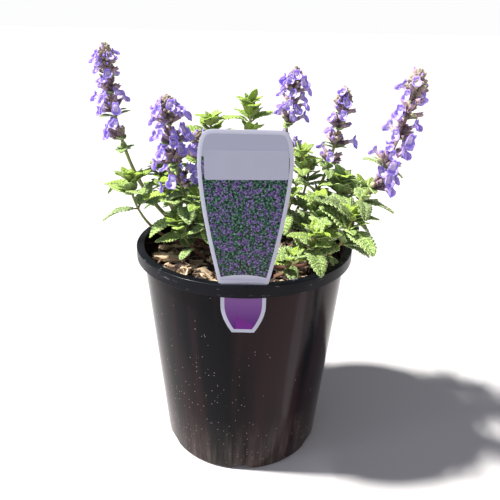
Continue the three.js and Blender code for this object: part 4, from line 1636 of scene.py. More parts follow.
@dataclass(frozen=True)
class Stem:
    """A stem: its root on the potting mix, its tip, how it sprawls, and its first pair's turn."""

    key: int
    name: str
    root: tuple[float, float]
    tip: Triple
    sprawl: float
    turn: float
    buried: ClassVar[float] = 9.0
    lift: ClassVar[float] = 2.0
    foot_radius: ClassVar[float] = 1.35
    tip_radius: ClassVar[float] = 0.65
    swelling: ClassVar[float] = 0.28
    swelling_length: ClassVar[float] = 1.6
    steps: ClassVar[int] = 26
    hairs: ClassVar[int] = 90
    # A rounded corner and a hollow side of its section: turn in degrees and share of its radius.
    quarter: ClassVar[tuple[tuple[float, float], ...]] = ((35, 0.96), (55, 0.96), (90, 0.64))

    @cached_property
    def curve(self) -> tuple[Vector, Vector, Vector, Vector]:
        """Foot, two bows and tip of the stem's line."""
        foot = Vector((*self.root, PottingMix.height_at(*self.root) + self.lift))
        tip = Vector(self.tip)
        out = Vector((tip.x - foot.x, tip.y - foot.y, 0))
        rise = UP * (tip.z - foot.z)
        low = foot + out * (0.3 + 0.25 * self.sprawl) + rise * (0.36 - 0.2 * self.sprawl)
        high = foot + out * (0.72 + 0.22 * self.sprawl) + rise * (0.66 - 0.22 * self.sprawl)
        return foot, low, high, tip

    def point(self, at: float) -> Vector:
        """Find a place on the stem's line.

        Args:
            at: Share of the line.

        Returns:
            The place.
        """
        a, b, c, d = self.curve
        rest = 1 - at
        return a * rest**3 + b * (3 * rest**2 * at) + c * (3 * rest * at**2) + d * at**3

    @cached_property
    def length(self) -> float:
        """Length of the stem's line."""
        points = [self.point(i / 200) for i in range(201)]
        return sum((b - a).length for a, b in zip(points, points[1:]))

    def heading(self, rank: int, side: int) -> float:
        """Degrees round the stem of one leaf of a pair; each pair stands across the last."""
        return self.turn + 90 * rank + 180 * side

    def axis(self, at: float) -> Axis:
        """Find the directions of the stem.

        Args:
            at: Share of its line.

        Returns:
            The place with its directions.
        """
        a, b, c, d = self.curve
        rest = 1 - at
        along = ((b - a) * rest**2 + (c - b) * (2 * rest * at) + (d - c) * at**2).normalized()
        across = Vector((a.y - d.y, d.x - a.x, 0)).normalized()
        return Axis(self.point(at), along, along.cross(across).normalized(), across)

    def radius(self, at: float) -> float:
        """Half of the stem's thickness from corner to corner."""
        return self.foot_radius + (self.tip_radius - self.foot_radius) * at

    def section(self, axis: Axis, radius: float, mark: float) -> list[Corner]:
        """Draw a square section with rounded corners and hollow sides.

        Args:
            axis: Where on the stem.
            radius: Half of the distance from corner to corner.
            mark: What the stem's finish reads there.

        Returns:
            Places round the stem with their marks.
        """
        corners = []
        for corner in range(4):
            for turn, share in self.quarter:
                angle = math.radians(90 * corner + turn)
                reach = radius * share
                place = axis.point + axis.inward * reach * math.cos(angle)
                corners.append((place + axis.across * reach * math.sin(angle), (mark, 0, 0)))
        return corners

    def grow(
        self,
        shape: Shape,
        start: float,
        end: float,
        nodes: Sequence[float],
        flush: tuple[float, float],
        stout: float,
    ) -> None:
        """Make the stem from one share of its line to another.

        Args:
            shape: The piece to add it to.
            start: First share; at 0 the buried foot is added.
            end: Last share.
            nodes: Shares where leaves or whorls swell it.
            flush: Marks for the stem's finish at its start and end.
            stout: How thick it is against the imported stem.
        """
        rings = []
        if start == 0:
            foot = self.axis(0)
            sunk = Axis(foot.point - UP * self.buried, UP, foot.across.cross(UP) * -1, foot.across)
            rings.append(self.section(sunk, stout * self.foot_radius, flush[0]))
        for step in range(self.steps + 1):
            share = step / self.steps
            at = start + (end - start) * share
            apart = [(at - node) * self.length / self.swelling_length for node in nodes]
            swell = sum(math.exp(-(distance**2)) for distance in apart)
            radius = stout * self.radius(at) * (1 + self.swelling * min(1.0, swell))
            rings.append(self.section(self.axis(at), radius, flush[0] + (flush[1] - flush[0]) * share))
        shape.tube(rings, Tissue.STEM)


@dataclass(frozen=True)
class Leaf:
    """A toothed leaf in its place: a folded, curled and quilted blade on a short petiole."""

    root: Attachment
    length: float
    curl: float
    key: int = 0
    youth: float = 0.0
    petiole: ClassVar[float] = 0.14
    petiole_half: ClassVar[float] = 0.026
    petiole_stout: ClassVar[float] = 1.6
    width: ClassVar[float] = 0.7
    fold: ClassVar[float] = 17.0
    usual_length: ClassVar[float] = 22.0
    base_fullness: ClassVar[float] = 0.34
    tip_fullness: ClassVar[float] = 0.72
    thickness: ClassVar[float] = 0.5
    teeth: ClassVar[int] = 9
    tooth_depth: ClassVar[float] = 0.25
    quilting: ClassVar[float] = 0.7

    def rib(self, share: float) -> tuple[Vector, Vector]:
        """Find a point of the midrib and the way that the upper face looks there.

        Args:
            share: Share of the blade's length, below 0 on the petiole.

        Returns:
            The point and the direction.
        """
        origin, forward, face = self.root.origin, self.root.forward, self.root.face
        if share < 0:
            return origin + forward * (self.petiole + share) * self.length, face
        radius = self.length / self.curl
        angle = self.curl * share
        ahead = self.petiole * self.length + radius * math.sin(angle)
        point = origin + forward * ahead - face * radius * (1 - math.cos(angle))
        return point, face * math.cos(angle) + forward * math.sin(angle)

    @classmethod
    def half_width(cls, share: float) -> float:
        """Find the half width of the blade with its rounded teeth, for a blade one unit long.

        Args:
            share: Share of its length, below 0 on the petiole.

        Returns:
            The half width.
        """
        if share <= 0:
            return cls.petiole_half
        a, b = cls.base_fullness, cls.tip_fullness
        peak = a / (a + b)
        outline = share**a * (1 - share) ** b / (peak**a * (1 - peak) ** b)
        phase = (share * cls.teeth + LeafFace.tooth_phase) % 1
        tooth = 1 - cls.tooth_depth * (1 - math.sin(math.pi * phase) ** 0.7)
        return max(cls.petiole_half, 0.5 * cls.width * outline * tooth)

    @classmethod
    def relief(cls, share: float, aside: float) -> float:
        """Find the height of the quilting.

        Args:
            share: Share of the blade's length.
            aside: Share of its half width.

        Returns:
            The height, from 0 on a vein to 1 between veins.
        """
        if share <= 0:
            return 0.0
        phase = (share - LeafFace.vein_slant * aside) * LeafFace.veins
        cushion = abs(math.sin(math.pi * phase)) ** 0.8
        return cushion * min(1.0, aside / 0.22) * (1 - 0.45 * aside**2)

    def grow(self, shape: Shape, mould: Mould) -> None:
        """Add the leaf to a piece.

        Args:
            shape: The piece.
            mould: A flat leaf whose marks are the shares along, across and through it.
        """
        size = self.length / self.usual_length
        slope = math.radians(self.fold)
        twist = 0.28 * sway(self.key, 91)
        wave = 6.28 * draw(self.key, 92)
        sizes = [1 + 0.07 * sway(self.key, 93), 1 + 0.07 * sway(self.key, 94)]
        tone = draw(self.key, 95)
        rows: dict[float, tuple[Vector, Vector, Vector, float]] = {}
        for vert, (share, across, depth) in zip(shape.pour(mould), mould.marks):
            on_blade = share > 0
            if share not in rows:
                point, face = self.rib(share)
                turn = twist * max(0.0, share)
                side = self.root.sideways * math.cos(turn) + face * math.sin(turn)
                up = face * math.cos(turn) - self.root.sideways * math.sin(turn)
                rows[share] = (point, side, up, self.half_width(share) * self.length)
            point, side, up, half = rows[share]
            aside = abs(across)
            reach = half * aside * sizes[across > 0]
            droop = 0.16 * half * aside**2
            ripple = 0.5 * size * aside**2 * math.sin(9 * share + wave + across) if on_blade else 0.0
            lift = self.quilting * size * self.relief(share, aside) + ripple - droop
            thick = self.thickness * (1.0 if on_blade else self.petiole_stout) * (0.5 - depth)
            place = point + side * math.copysign(reach * math.cos(slope), across)
            vert.co = place + up * (reach * math.sin(slope) + lift + thick)
            shape.mark(vert, (max(0.0, share), across, tone), self.youth)


class Organs:
    """The moulds that the repeated parts of the plant are cast from."""

    # Places across half of a leaf and along each of its teeth, for a full leaf and for a small one.
    full_leaf: ClassVar[tuple[tuple[float, ...], ...]] = ((0.0, 0.24, 0.6, 1.0), (0.0, 0.18, 0.5, 0.82))
    small_leaf: ClassVar[tuple[tuple[float, ...], ...]] = ((0.0, 0.5, 1.0), (0.0, 0.5))
    leaflet_size: ClassVar[float] = 13.0
    # Half of a corolla's edge: degrees from the top, reach from the middle, reach forwards.
    corolla_edge: ClassVar[tuple[Triple, ...]] = (
        (0, 2.2, 1.9),
        (26, 3.05, 2.2),
        (52, 2.5, 1.5),
        (78, 2.1, 0.9),
        (101, 2.1, 1.4),
        (122, 3.3, 2.2),
        (143, 4.45, 1.9),
        (163, 4.95, 1.2),
        (180, 4.5, 0.9),
    )
    # Length from the calyx's mouth, radius and mark of the corolla's tube.
    corolla_tube: ClassVar[tuple[Triple, ...]] = ((-2.4, 0.5, -1.0), (1.6, 0.85, -0.5), (3.7, 1.25, -0.05))
    petal: ClassVar[float] = 0.22
    throat_depth: ClassVar[float] = 0.9
    throat_share: ClassVar[float] = 0.6
    # Length, radius and tooth of the calyx and of a closed bud, ring by ring.
    calyx_rings: ClassVar[tuple[Triple, ...]] = (
        (0.0, 0.4, 0.0),
        (1.3, 0.95, 0.0),
        (3.9, 1.2, 0.0),
        (5.7, 1.2, 1.3),
        (4.7, 0.75, 0.0),
    )
    bud_rings: ClassVar[tuple[Triple, ...]] = (
        (0.0, 0.3, 0.0),
        (1.4, 1.0, 0.0),
        (3.5, 1.35, 0.0),
        (4.9, 1.0, 0.0),
        (5.6, 0.2, 0.0),
    )
    bud_length: ClassVar[float] = 5.6
    knob_size: ClassVar[Triple] = (0.95, 1.05, 1.5)
    hair_radii: ClassVar[tuple[float, float]] = (0.05, 0.012)

    def __init__(self) -> None:
        """Make the moulds."""
        self.leaf = self.leaf_mould(*self.full_leaf)
        self.leaflet = self.leaf_mould(*self.small_leaf)
        self.corolla = self.corolla_mould()
        self.calyx = self.bell_mould(self.calyx_rings, 10)
        self.bud = self.bell_mould(self.bud_rings, 8)
        self.knob = self.knob_mould()
        self.hair = self.hair_mould()

    def leaf_mould(self, half_columns: Sequence[float], tooth_rows: Sequence[float]) -> Mould:
        """Make a flat leaf, marked with the shares along, across and through it.

        Args:
            half_columns: Shares across, from the midrib to the edge.
            tooth_rows: Shares along each tooth.

        Returns:
            The mould.
        """
        places = [tooth + part for tooth in range(Leaf.teeth + 1) for part in tooth_rows]
        shares = [(place - LeafFace.tooth_phase) / Leaf.teeth for place in places]
        rows = [-Leaf.petiole, -0.5 * Leaf.petiole, -0.004, 0.006]
        rows += [share for share in shares if 0.02 < share < 0.985]
        rows.append(0.996)
        columns = [-c for c in reversed(half_columns[1:])] + list(half_columns)
        shape = Shape()
        bmesh.ops.create_grid(shape.bm, x_segments=len(rows) - 1, y_segments=len(columns) - 1, size=1.0)
        for vert in shape.bm.verts:
            row = round((vert.co.x + 1) / 2 * (len(rows) - 1))
            column = round((vert.co.y + 1) / 2 * (len(columns) - 1))
            vert.co = Vector((rows[row], columns[column], 0))
        bmesh.ops.solidify(shape.bm, geom=list(shape.bm.faces), thickness=1.0)
        bmesh.ops.recalc_face_normals(shape.bm, faces=shape.bm.faces)
        top = max(round(vert.co.z) for vert in shape.bm.verts)
        for vert in shape.bm.verts:
            vert.co.z = 0.0 if round(vert.co.z) == top else 1.0
            shape.mark(vert, vert.co)
        for face in shape.bm.faces:
            under = all(vert.co.z > 0.5 for vert in face.verts)
            blade = Tissue.UNDERSIDE if under else Tissue.LEAF
            face.material_index = Tissue.STEM if face.calc_center_median().x < 0 else blade
        return shape.mould()

    def corolla_ring(self, share: float, inner: float) -> list[Corner]:
        """Draw one ring of a corolla's lips: two upper lobes, two at the sides and a broad notched lip.

        Args:
            share: 0 at the throat, 1 at the edge of the lobes.
            inner: How far the ring lies inside the petals' outer face.

        Returns:
            Places with their marks.
        """
        half = self.corolla_edge
        edge = [*half, *((360 - turn, reach, ahead) for turn, reach, ahead in reversed(half[1:-1]))]
        throat, throat_radius, _ = self.corolla_tube[-1]
        ring = []
        for i, (turn, reach, ahead) in enumerate(edge):
            radius = throat_radius + (reach - throat_radius) * share - inner
            cup = 0.9 * math.sin(math.pi * share) * (1 if 125 < turn < 235 else 0.5)
            ripple = 0.07 * share * (-1) ** i
            z = throat + ahead * share**1.3 - cup + ripple + inner
            mark = (max(0.0, share), 1 - abs(180 - turn) / 180, 0)
            ring.append((polar(radius, math.radians(turn), z), mark))
        return ring

    def corolla_mould(self) -> Mould:
        """Make a corolla: a widening tube and its lips, closed a little way down the throat.

        Returns:
            The mould.
        """
        turns = [math.atan2(place.x, place.y) for place, _ in self.corolla_ring(1, 0)]
        throat, radius, _ = self.corolla_tube[-1]
        end = (throat - self.throat_depth, self.throat_share * radius, 0)
        outside, inside = (
            [[(polar(wide, turn, length), (mark, 0, 0)) for turn in turns] for length, wide, mark in part]
            for part in (self.corolla_tube, (end,))
        )
        steps = ((0.55, 0), (1.0, 0), (0.95, self.petal), (0.5, self.petal))
        lips = [self.corolla_ring(share, inner) for share, inner in steps]
        shape = Shape()
        shape.tube([*outside, *lips, *inside], Tissue.PETAL)
        return shape.mould()

    def bell_mould(self, rings: Sequence[Triple], corners: int) -> Mould:
        """Make a calyx, or a bud that its calyx still closes.

        Args:
            rings: Length, radius and tooth, ring by ring.
            corners: Corners of each ring; every second one bears a tooth.

        Returns:
            The mould.
        """
        shape = Shape()
        bell = []
        for length, radius, tooth in rings:
            share = min(1.0, length / self.bud_length)
            ring = []
            for i in range(corners):
                out = tooth * (i % 2)
                place = polar(radius + 0.12 * out, math.tau * i / corners, length + out)
                ring.append((place, (share, 2 * i / corners, 0)))
            bell.append(ring)
        shape.tube(bell, Tissue.CALYX)
        return shape.mould()

    def knob_mould(self) -> Mould:
        """Make the rolled petals of a bud that is about to open.

        Returns:
            The mould.
        """
        shape = Shape()
        bmesh.ops.create_uvsphere(shape.bm, u_segments=8, v_segments=5, radius=1.0)
        for vert in shape.bm.verts:
            vert.co *= Vector(self.knob_size)
            shape.mark(vert, (0.55 + 0.3 * vert.co.z / self.knob_size[2], 0.2, 0))
        return shape.mould(Tissue.PETAL)

    def hair_mould(self) -> Mould:
        """Make one hair, a unit long.

        Returns:
            The mould.
        """
        shape = Shape()
        root, tip = self.hair_radii
        bmesh.ops.create_cone(
            shape.bm, cap_ends=False, segments=3, radius1=root, radius2=tip, depth=1.0,
            matrix=Matrix.Translation((0, 0, 0.5)),
        )
        for vert in shape.bm.verts:
            shape.mark(vert, (vert.co.z, 0, 0))
        return shape.mould(Tissue.DOWN)


# How a leaf is bent clear of its neighbours: more spread and more turn in degrees, and its size.
BENDS = (
    (0, 0, 1),
    (-14, 0, 1),
    (14, 0, 1),
    (0, 20, 1),
    (0, -20, 1),
    (-26, 14, 1),
    (-26, -14, 1),
    (26, 0, 0.9),
    (0, 34, 0.85),
    (0, -34, 0.85),
    (-34, 0, 0.75),
    (8, 26, 0.65),
    (8, -26, 0.65),
    (-20, 0, 0.55),
)


class Sprig:
    """A piece of the plant in the making, on its stem.

    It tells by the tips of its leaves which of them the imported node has.
    """

    tip_reach: ClassVar[float] = 0.12
    nodding: ClassVar[float] = 16.0
    calyx_hairs: ClassVar[int] = 7

    def __init__(self, stem: Stem, organs: Organs, node: bpy.types.Object) -> None:
        """Set out to make a piece.

        Args:
            stem: Its stem.
            organs: Moulds of the plant.
            node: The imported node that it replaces.
        """
        self.shape = Shape()
        self.stem = stem
        self.organs = organs
        self.node = node
        self.tips = kdtree.KDTree(len(node.data.vertices))
        for i, vert in enumerate(node.data.vertices):
            self.tips.insert(vert.co / MM, i)
        self.tips.balance()

    def finish(self, kind: str, slot: str) -> None:
        """Turn the sprig into a piece of the object."""
        self.shape.finish(f"catmint_{kind}_{self.stem.name}", TISSUES, slot, (self.node.name,))

    def packed_leaf(self, pair: Pair, side: int) -> Leaf | None:
        """Find one leaf of a pair as it was packed.

        Args:
            pair: The pair.
            side: 0 or 1.

        Returns:
            The leaf, or None where the pack has none.
        """
        keys = (self.stem.key, pair.rank, side)
        key = 1000 * self.stem.key + 10 * pair.rank + side
        place = self.stem.axis(pair.at)
        set_back = 0.4 * self.stem.radius(pair.at)
        for more_spread, more_turn, size in BENDS:
            turn = self.stem.heading(pair.rank, side) + more_turn + 10 * sway(*keys, 1)
            spread = pair.spread + more_spread + 8 * sway(*keys, 2)
            length = pair.length * size * (1 + 0.1 * sway(*keys, 3))
            curl = math.radians(pair.curl + 12 * sway(*keys, 4))
            leaf = Leaf(place.organ(turn, spread, set_back), length, curl, key, pair.youth)
            if self.tips.find(leaf.rib(1)[0])[2] < self.tip_reach:
                return replace(leaf, root=place.organ(turn, spread + pair.opening, set_back))
        return None

    def packed_pairs(self, pairs: Sequence[Pair]) -> None:
        """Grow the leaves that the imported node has.

        Args:
            pairs: The pairs to look for.
        """
        for pair in pairs:
            for leaf in [self.packed_leaf(pair, side) for side in (0, 1)]:
                if leaf:
                    leaf.grow(self.shape, self.organs.leaf)

    def extra(self, at: float, length: float, turn: float, spread: float, key: int, youth: float) -> None:
        """Grow a small leaf that isn't in the pack, such as one in the axil of another.

        Args:
            at: Share of the stem's line.
            length: Length of its blade.
            turn: Degrees round the stem.
            spread: Degrees from the stem's direction.
            key: Number that its draws depend on.
            youth: 1 for a leaf as pale as those at a tip.
        """
        root = self.stem.axis(at).organ(turn, spread, 0.0)
        curl = math.radians(26 + 14 * sway(key, 5))
        mould = self.organs.leaf if length > self.organs.leaflet_size else self.organs.leaflet
        Leaf(root, length, curl, key, youth).grow(self.shape, mould)

    def hair(self, point: Vector, direction: Vector, length: float) -> None:
        """Set one hair.

        Args:
            point: Its root.
            direction: The way it points.
            length: Its length.
        """
        turn = direction.to_track_quat("Z", "Y").to_matrix().to_4x4()
        size = Matrix.Diagonal((1, 1, length, 1))
        self.shape.cast(self.organs.hair, Matrix.Translation(point) @ turn @ size)

    def down(self, start: float, end: float) -> None:
        """Set short hairs on the stem.

        Args:
            start: Share of its line where they start.
            end: Share where they end.
        """
        for i in range(self.stem.hairs):
            keys = (self.stem.key, i)
            axis = self.stem.axis(start + (end - start) * draw(*keys, 81))
            turn = math.tau * draw(*keys, 82)
            side = axis.inward * math.cos(turn) + axis.across * math.sin(turn)
            lean = (side + axis.along * 0.5 * sway(*keys, 83)).normalized()
            self.hair(axis.point + side * 0.6, lean, 0.7 + 0.5 * draw(*keys, 84))

    def root(self, at: float, turn: float, spread: float) -> Attachment:
        """Find where a floret leaves the stem, rolled a little to one side.

        Args:
            at: Share of the stem's line.
            turn: Degrees round the stem.
            spread: Degrees from the stem's direction.

        Returns:
            The attachment.
        """
        root = self.stem.axis(at).organ(turn, spread, -0.35 * self.stem.radius(at))
        roll = math.radians(self.nodding * sway(round(1000 * at), round(turn), 55))
        return replace(root, face=root.face * math.cos(roll) + root.sideways * math.sin(roll))

    def calyx_down(self, root: Attachment, scale: float, start: float) -> None:
        """Set hairs round a calyx.

        Args:
            root: Where it leaves the stem.
            scale: Its size.
            start: Share of a turn at which the first hair stands.
        """
        for i in range(self.calyx_hairs):
            turn = math.tau * (i / self.calyx_hairs + start)
            side = root.sideways * math.cos(turn) + root.face * math.sin(turn)
            point = root.origin + root.forward * scale * (1.5 + 0.55 * i) + side * 1.0
            self.hair(point, (side + root.forward * 0.4).normalized(), 0.8)

    def floret(self, root: Attachment, scale: float, reach: float, tone: float) -> None:
        """Add an open floret in its calyx.

        Args:
            root: Where it leaves the stem.
            scale: Its size.
            reach: Length of its calyx against the usual length.
            tone: From 0 to 1, a deeper or a paler violet.
        """
        self.shape.cast(self.organs.calyx, root.matrix(0, scale, scale * reach), tone)
        open_at = 6 * scale * reach - 0.4
        self.shape.cast(self.organs.corolla, root.matrix(open_at, scale * (0.92 + 0.2 * tone), scale), tone)
        self.calyx_down(root, scale * reach, tone)

    def faded_floret(self, root: Attachment, scale: float, tone: float) -> None:
        """Add a floret that is past: a longer, pinker calyx with its shrunken petals.

        Args:
            root: Where it leaves the stem.
            scale: Its size.
            tone: From 0 to 1, a deeper or a paler violet.
        """
        self.shape.cast(self.organs.calyx, root.matrix(0, scale, 1.2 * scale), 1.0)
        self.shape.cast(self.organs.knob, root.matrix(6.6 * scale, 0.7 * scale, 0.8 * scale), tone)
        self.calyx_down(root, scale, tone)

    def bud(self, root: Attachment, scale: float, *keys: int) -> None:
        """Add a bud: closed and green when young, or with its rolled petals showing.

        Args:
            root: Where it leaves the stem.
            scale: Its size.
            keys: Numbers that its draws depend on.
        """
        ripe = draw(*keys, 26)
        place = root.matrix(0, scale, scale)
        if ripe > 0.55 and scale > 0.85:
            self.shape.cast(self.organs.calyx, place, ripe)
            self.shape.cast(self.organs.knob, root.matrix(6.1 * scale, 0.95 * scale, 0.95 * scale), ripe)
        else:
            self.shape.cast(self.organs.bud, place, ripe, 0.5 + 0.5 * draw(*keys, 27))


@dataclass(frozen=True)
class LeafyShoot:
    """A shoot with leaves only, largest a third of the way down and yellow-green at its tip."""

    stem: Stem
    pairs: int
    leaf: float
    fresh: float = 0.0
    low_size: float = 0.62
    # Distance under the tip, size, spread, curl, youth and opening of each pair.
    ranks: ClassVar[tuple[tuple[float, ...], ...]] = (
        (0, 0.45, 26, 10, 0.9, 34),
        (4, 0.75, 50, 22, 0.5, 12),
        (11, 1.0, 66, 36, 0.15, 0),
        (21, 0.95, 78, 44, 0.0, 0),
        (33, 0.85, 86, 46, 0.0, 0),
    )
    axil_size: ClassVar[float] = 0.5
    stout: ClassVar[float] = 1.1

    def rosette(self, sprig: Sprig) -> None:
        """Close the tip with four young leaves, and two that still stand upright."""
        for sprout in range(6):
            key = 500 + 10 * self.stem.key + sprout
            opened = sprout > 1
            turn = self.stem.turn + (45 + 90 * sprout if opened else 90 + 180 * sprout) + 12 * sway(key, 6)
            length = self.leaf * ((0.36 + 0.08 * draw(key, 7)) if opened else 0.2)
            sprig.extra(0.992 if opened else 0.998, length, turn, 56 if opened else 16, key, 0.95)

    def axils(self, sprig: Sprig, pair: Pair) -> None:
        """Grow four small leaves in the axils of a pair.

        Args:
            sprig: The shoot's sprig.
            pair: The pair.
        """
        for sprout in range(4):
            key = 700 + 100 * self.stem.key + 10 * pair.rank + sprout
            turn = self.stem.heading(pair.rank, sprout % 2) + (30 if sprout > 1 else -30) + 16 * sway(key, 6)
            length = self.axil_size * self.leaf * (0.7 + 0.6 * draw(key, 7))
            at = min(1.0, pair.at + 0.012 * (1 + sprout // 2))
            sprig.extra(at, length, turn, 40 + 18 * sway(key, 8), key, 0.45 * draw(key, 10) + self.fresh)

    def build(self, organs: Organs, node: bpy.types.Object) -> None:
        """Make the shoot.

        Args:
            organs: Moulds of the plant.
            node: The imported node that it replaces.
        """
        stem = self.stem
        pairs = []
        for rank, (below, size, spread, curl, youth, opening) in enumerate(self.ranks[: self.pairs]):
            at = 1 - below / stem.length
            paleness = min(1.0, youth + self.fresh)
            pairs.append(Pair(at, size * self.leaf, spread, curl, rank, paleness, opening))
        sprig = Sprig(stem, organs, node)
        stem.grow(sprig.shape, 0, 1, [pair.at for pair in pairs[1:]], (0.1, 0.52), self.stout)
        sprig.packed_pairs(pairs)
        self.rosette(sprig)
        for pair in pairs[1:]:
            self.axils(sprig, pair)
        below, size, spread = self.ranks[self.pairs][:3]
        for side in (0, 1):
            key = 900 + 10 * stem.key + side
            turn = stem.heading(self.pairs, side) + 20 * sway(key, 6)
            length = self.low_size * size * self.leaf
            sprig.extra(1 - below / stem.length, length, turn, spread - 14, key, 0.0)
        sprig.down(0.1, 1.0)
        sprig.finish("shoot", "leaf")


@dataclass(frozen=True)
class Whorl:
    """A ring of flowers: its place on the stem, its florets and buds, and the arc they fill."""

    at: float
    florets: int
    buds: int
    arc: float = 360.0


@dataclass(frozen=True)
class FlowerSpike:
    """A flowering stem: leaf pairs below, and whorls of florets and buds above."""

    stem: Stem
    spike_from: float
    leaves: tuple[tuple[float, float], ...]
    whorls: tuple[Whorl, ...]
    bracts: tuple[tuple[float, float], ...] = ()
    faded: float = 0.12
    stout: ClassVar[float] = 1.4
    extra_florets: ClassVar[float] = 0.5
    extra_calyces: ClassVar[int] = 11
    bud_spread: ClassVar[float] = 40.0
    floret_spread: ClassVar[float] = 57.0
    highest_bud: ClassVar[float] = 0.99
    head_from: ClassVar[float] = 0.95
    head_florets: ClassVar[int] = 5
    head_buds: ClassVar[int] = 52
    golden_turn: ClassVar[float] = 137.5
    golden_share: ClassVar[float] = 0.618

    def rise(self, at: float) -> float:
        """Share of the spike at a share of the stem."""
        return (at - self.spike_from) / (1 - self.spike_from)

    def reach(self, at: float) -> float:
        """Length of the calyces at a share of the stem, against their usual length."""
        return 1.34 - 0.42 * self.rise(at)

    def leafy_part(self, organs: Organs, node: bpy.types.Object) -> None:
        """Make the lower part of the stem with its leaf pairs.

        Args:
            organs: Moulds of the plant.
            node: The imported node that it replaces.
        """
        stem = self.stem
        pairs = [
            Pair(at, length, 70, 40, rank, 0.12 * draw(stem.key, rank, 9))
            for rank, (at, length) in enumerate(reversed(self.leaves))
        ]
        sprig = Sprig(stem, organs, node)
        stem.grow(sprig.shape, 0, self.spike_from, [pair.at for pair in pairs], (0.1, 0.58), self.stout)
        sprig.packed_pairs(pairs)
        for pair in pairs:
            for side in (0, 1):
                key = 300 + 40 * stem.key + 4 * pair.rank + side
                turn = stem.heading(pair.rank, side) + 20 * sway(key, 6)
                length = pair.length * (0.3 + 0.2 * draw(key, 7))
                sprig.extra(pair.at + 0.012, length, turn, 36 + 12 * sway(key, 8), key, 0.35)
        sprig.down(0.1, self.spike_from)
        sprig.finish("stem", "leaf")

    def flowers(self, organs: Organs, node: bpy.types.Object) -> None:
        """Make the spike: the upper stem, its whorls with their bracts, and the head of buds.

        Args:
            organs: Moulds of the plant.
            node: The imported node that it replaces.
        """
        stem = self.stem
        sprig = Sprig(stem, organs, node)
        start = self.spike_from + 0.3 / stem.length
        stem.grow(sprig.shape, start, 1, [whorl.at for whorl in self.whorls], (0.6, 1.0), self.stout)
        bracts = [Pair(at, length, 74, 30, 51 + i, 0.2) for i, (at, length) in enumerate(self.bracts)]
        sprig.packed_pairs(bracts)
        for number, whorl in enumerate(self.whorls):
            self.whorl(sprig, whorl, number)
            self.fill(sprig, whorl, number)
            for side in (0, 1):
                key = 5000 + 100 * stem.key + 10 * number + side
                length = 10.5 - 6 * self.rise(whorl.at)
                sprig.extra(whorl.at - 0.018, length, stem.heading(number % 2, side), 62, key, 0.3)
        self.head(sprig)
        sprig.down(start, 1.0)
        sprig.finish("spike", "flower")

    def whorl(self, sprig: Sprig, whorl: Whorl, number: int) -> None:
        """Add the florets and buds of a whorl, round the stem in two tiers.

        Args:
            sprig: The spike's sprig.
            whorl: The whorl.
            number: Its number from below.
        """
        count = whorl.florets + whorl.buds
        reach = self.reach(whorl.at)
        closed = max(0.0, (whorl.at - 0.9) / 0.1)
        for i in range(count):
            keys = (self.stem.key, number, i)
            is_bud = (i * whorl.buds) % count < whorl.buds
            tier = 1 if i % 2 else -1
            stagger = 0.5 * (number % 2) + 0.2 * sway(*keys, 21)
            turn = whorl.arc * ((i + 0.5 + stagger) / count - 0.5) - 90
            highest = self.highest_bud if is_bud else self.head_from
            at = min(highest, whorl.at + 0.008 * tier + 0.003 * sway(*keys, 22))
            spread = self.bud_spread if is_bud else self.floret_spread
            spread -= 8 * closed + 10 * tier - 13 * sway(*keys, 23)
            root = sprig.root(at, turn + 9 * sway(*keys, 28), spread)
            scale = (1.1 + 0.13 * sway(*keys, 24)) * (1 - 0.12 * closed)
            if is_bud or (whorl.at > self.head_from and i > self.head_florets):
                sprig.bud(root, scale * max(0.8, reach), *keys)
            elif draw(*keys, 29) < self.faded:
                sprig.faded_floret(root, scale, draw(*keys, 25))
            else:
                sprig.floret(root, scale, reach, draw(*keys, 25))

    def fill(self, sprig: Sprig, whorl: Whorl, number: int) -> None:
        """Crowd a whorl with more calyces, and with smaller florets behind the others.

        Args:
            sprig: The spike's sprig.
            whorl: The whorl.
            number: Its number from below.
        """
        reach = self.reach(whorl.at)
        young = max(0.0, (self.rise(whorl.at) - 0.75) / 0.25)
        more = round(self.extra_florets * whorl.florets)
        for i in range(more + self.extra_calyces):
            keys = (self.stem.key, number, 60 + i)
            turn = whorl.arc * ((i * self.golden_share + 0.3 * draw(*keys, 31)) % 1 - 0.5) - 90
            at = min(0.992, whorl.at + 0.008 * sway(*keys, 32))
            root = sprig.root(at, turn, 50 + 30 * sway(*keys, 33))
            scale = 0.97 + 0.13 * sway(*keys, 34)
            if i < more:
                sprig.floret(root, scale, reach * 0.92, draw(*keys, 35))
            elif draw(*keys, 36) < 0.4:
                sprig.bud(root, scale * max(0.75, reach), *keys)
            else:
                place = root.matrix(0, scale, 0.85 * scale * reach)
                sprig.shape.cast(sprig.organs.calyx, place, draw(*keys, 37), 0.6 * young)
                sprig.calyx_down(root, scale * reach, draw(*keys, 38))

    def head(self, sprig: Sprig) -> None:
        """Close the spike with a knob of young green buds.

        Args:
            sprig: The spike's sprig.
        """
        for i in range(self.head_buds):
            keys = (self.stem.key, i)
            share = (i + 0.5) / self.head_buds
            spread = 80 - 66 * share**1.5 + 10 * sway(*keys, 51)
            root = sprig.root(0.957 + 0.04 * share, self.golden_turn * i, spread)
            scale = 0.92 - 0.24 * share + 0.1 * sway(*keys, 52)
            stalk = 1.7 * (1 - share) + 0.5 * sway(*keys, 56)
            place = root.matrix(stalk, scale, scale)
            sprig.shape.cast(sprig.organs.bud, place, draw(*keys, 53), 0.75 * draw(*keys, 54))


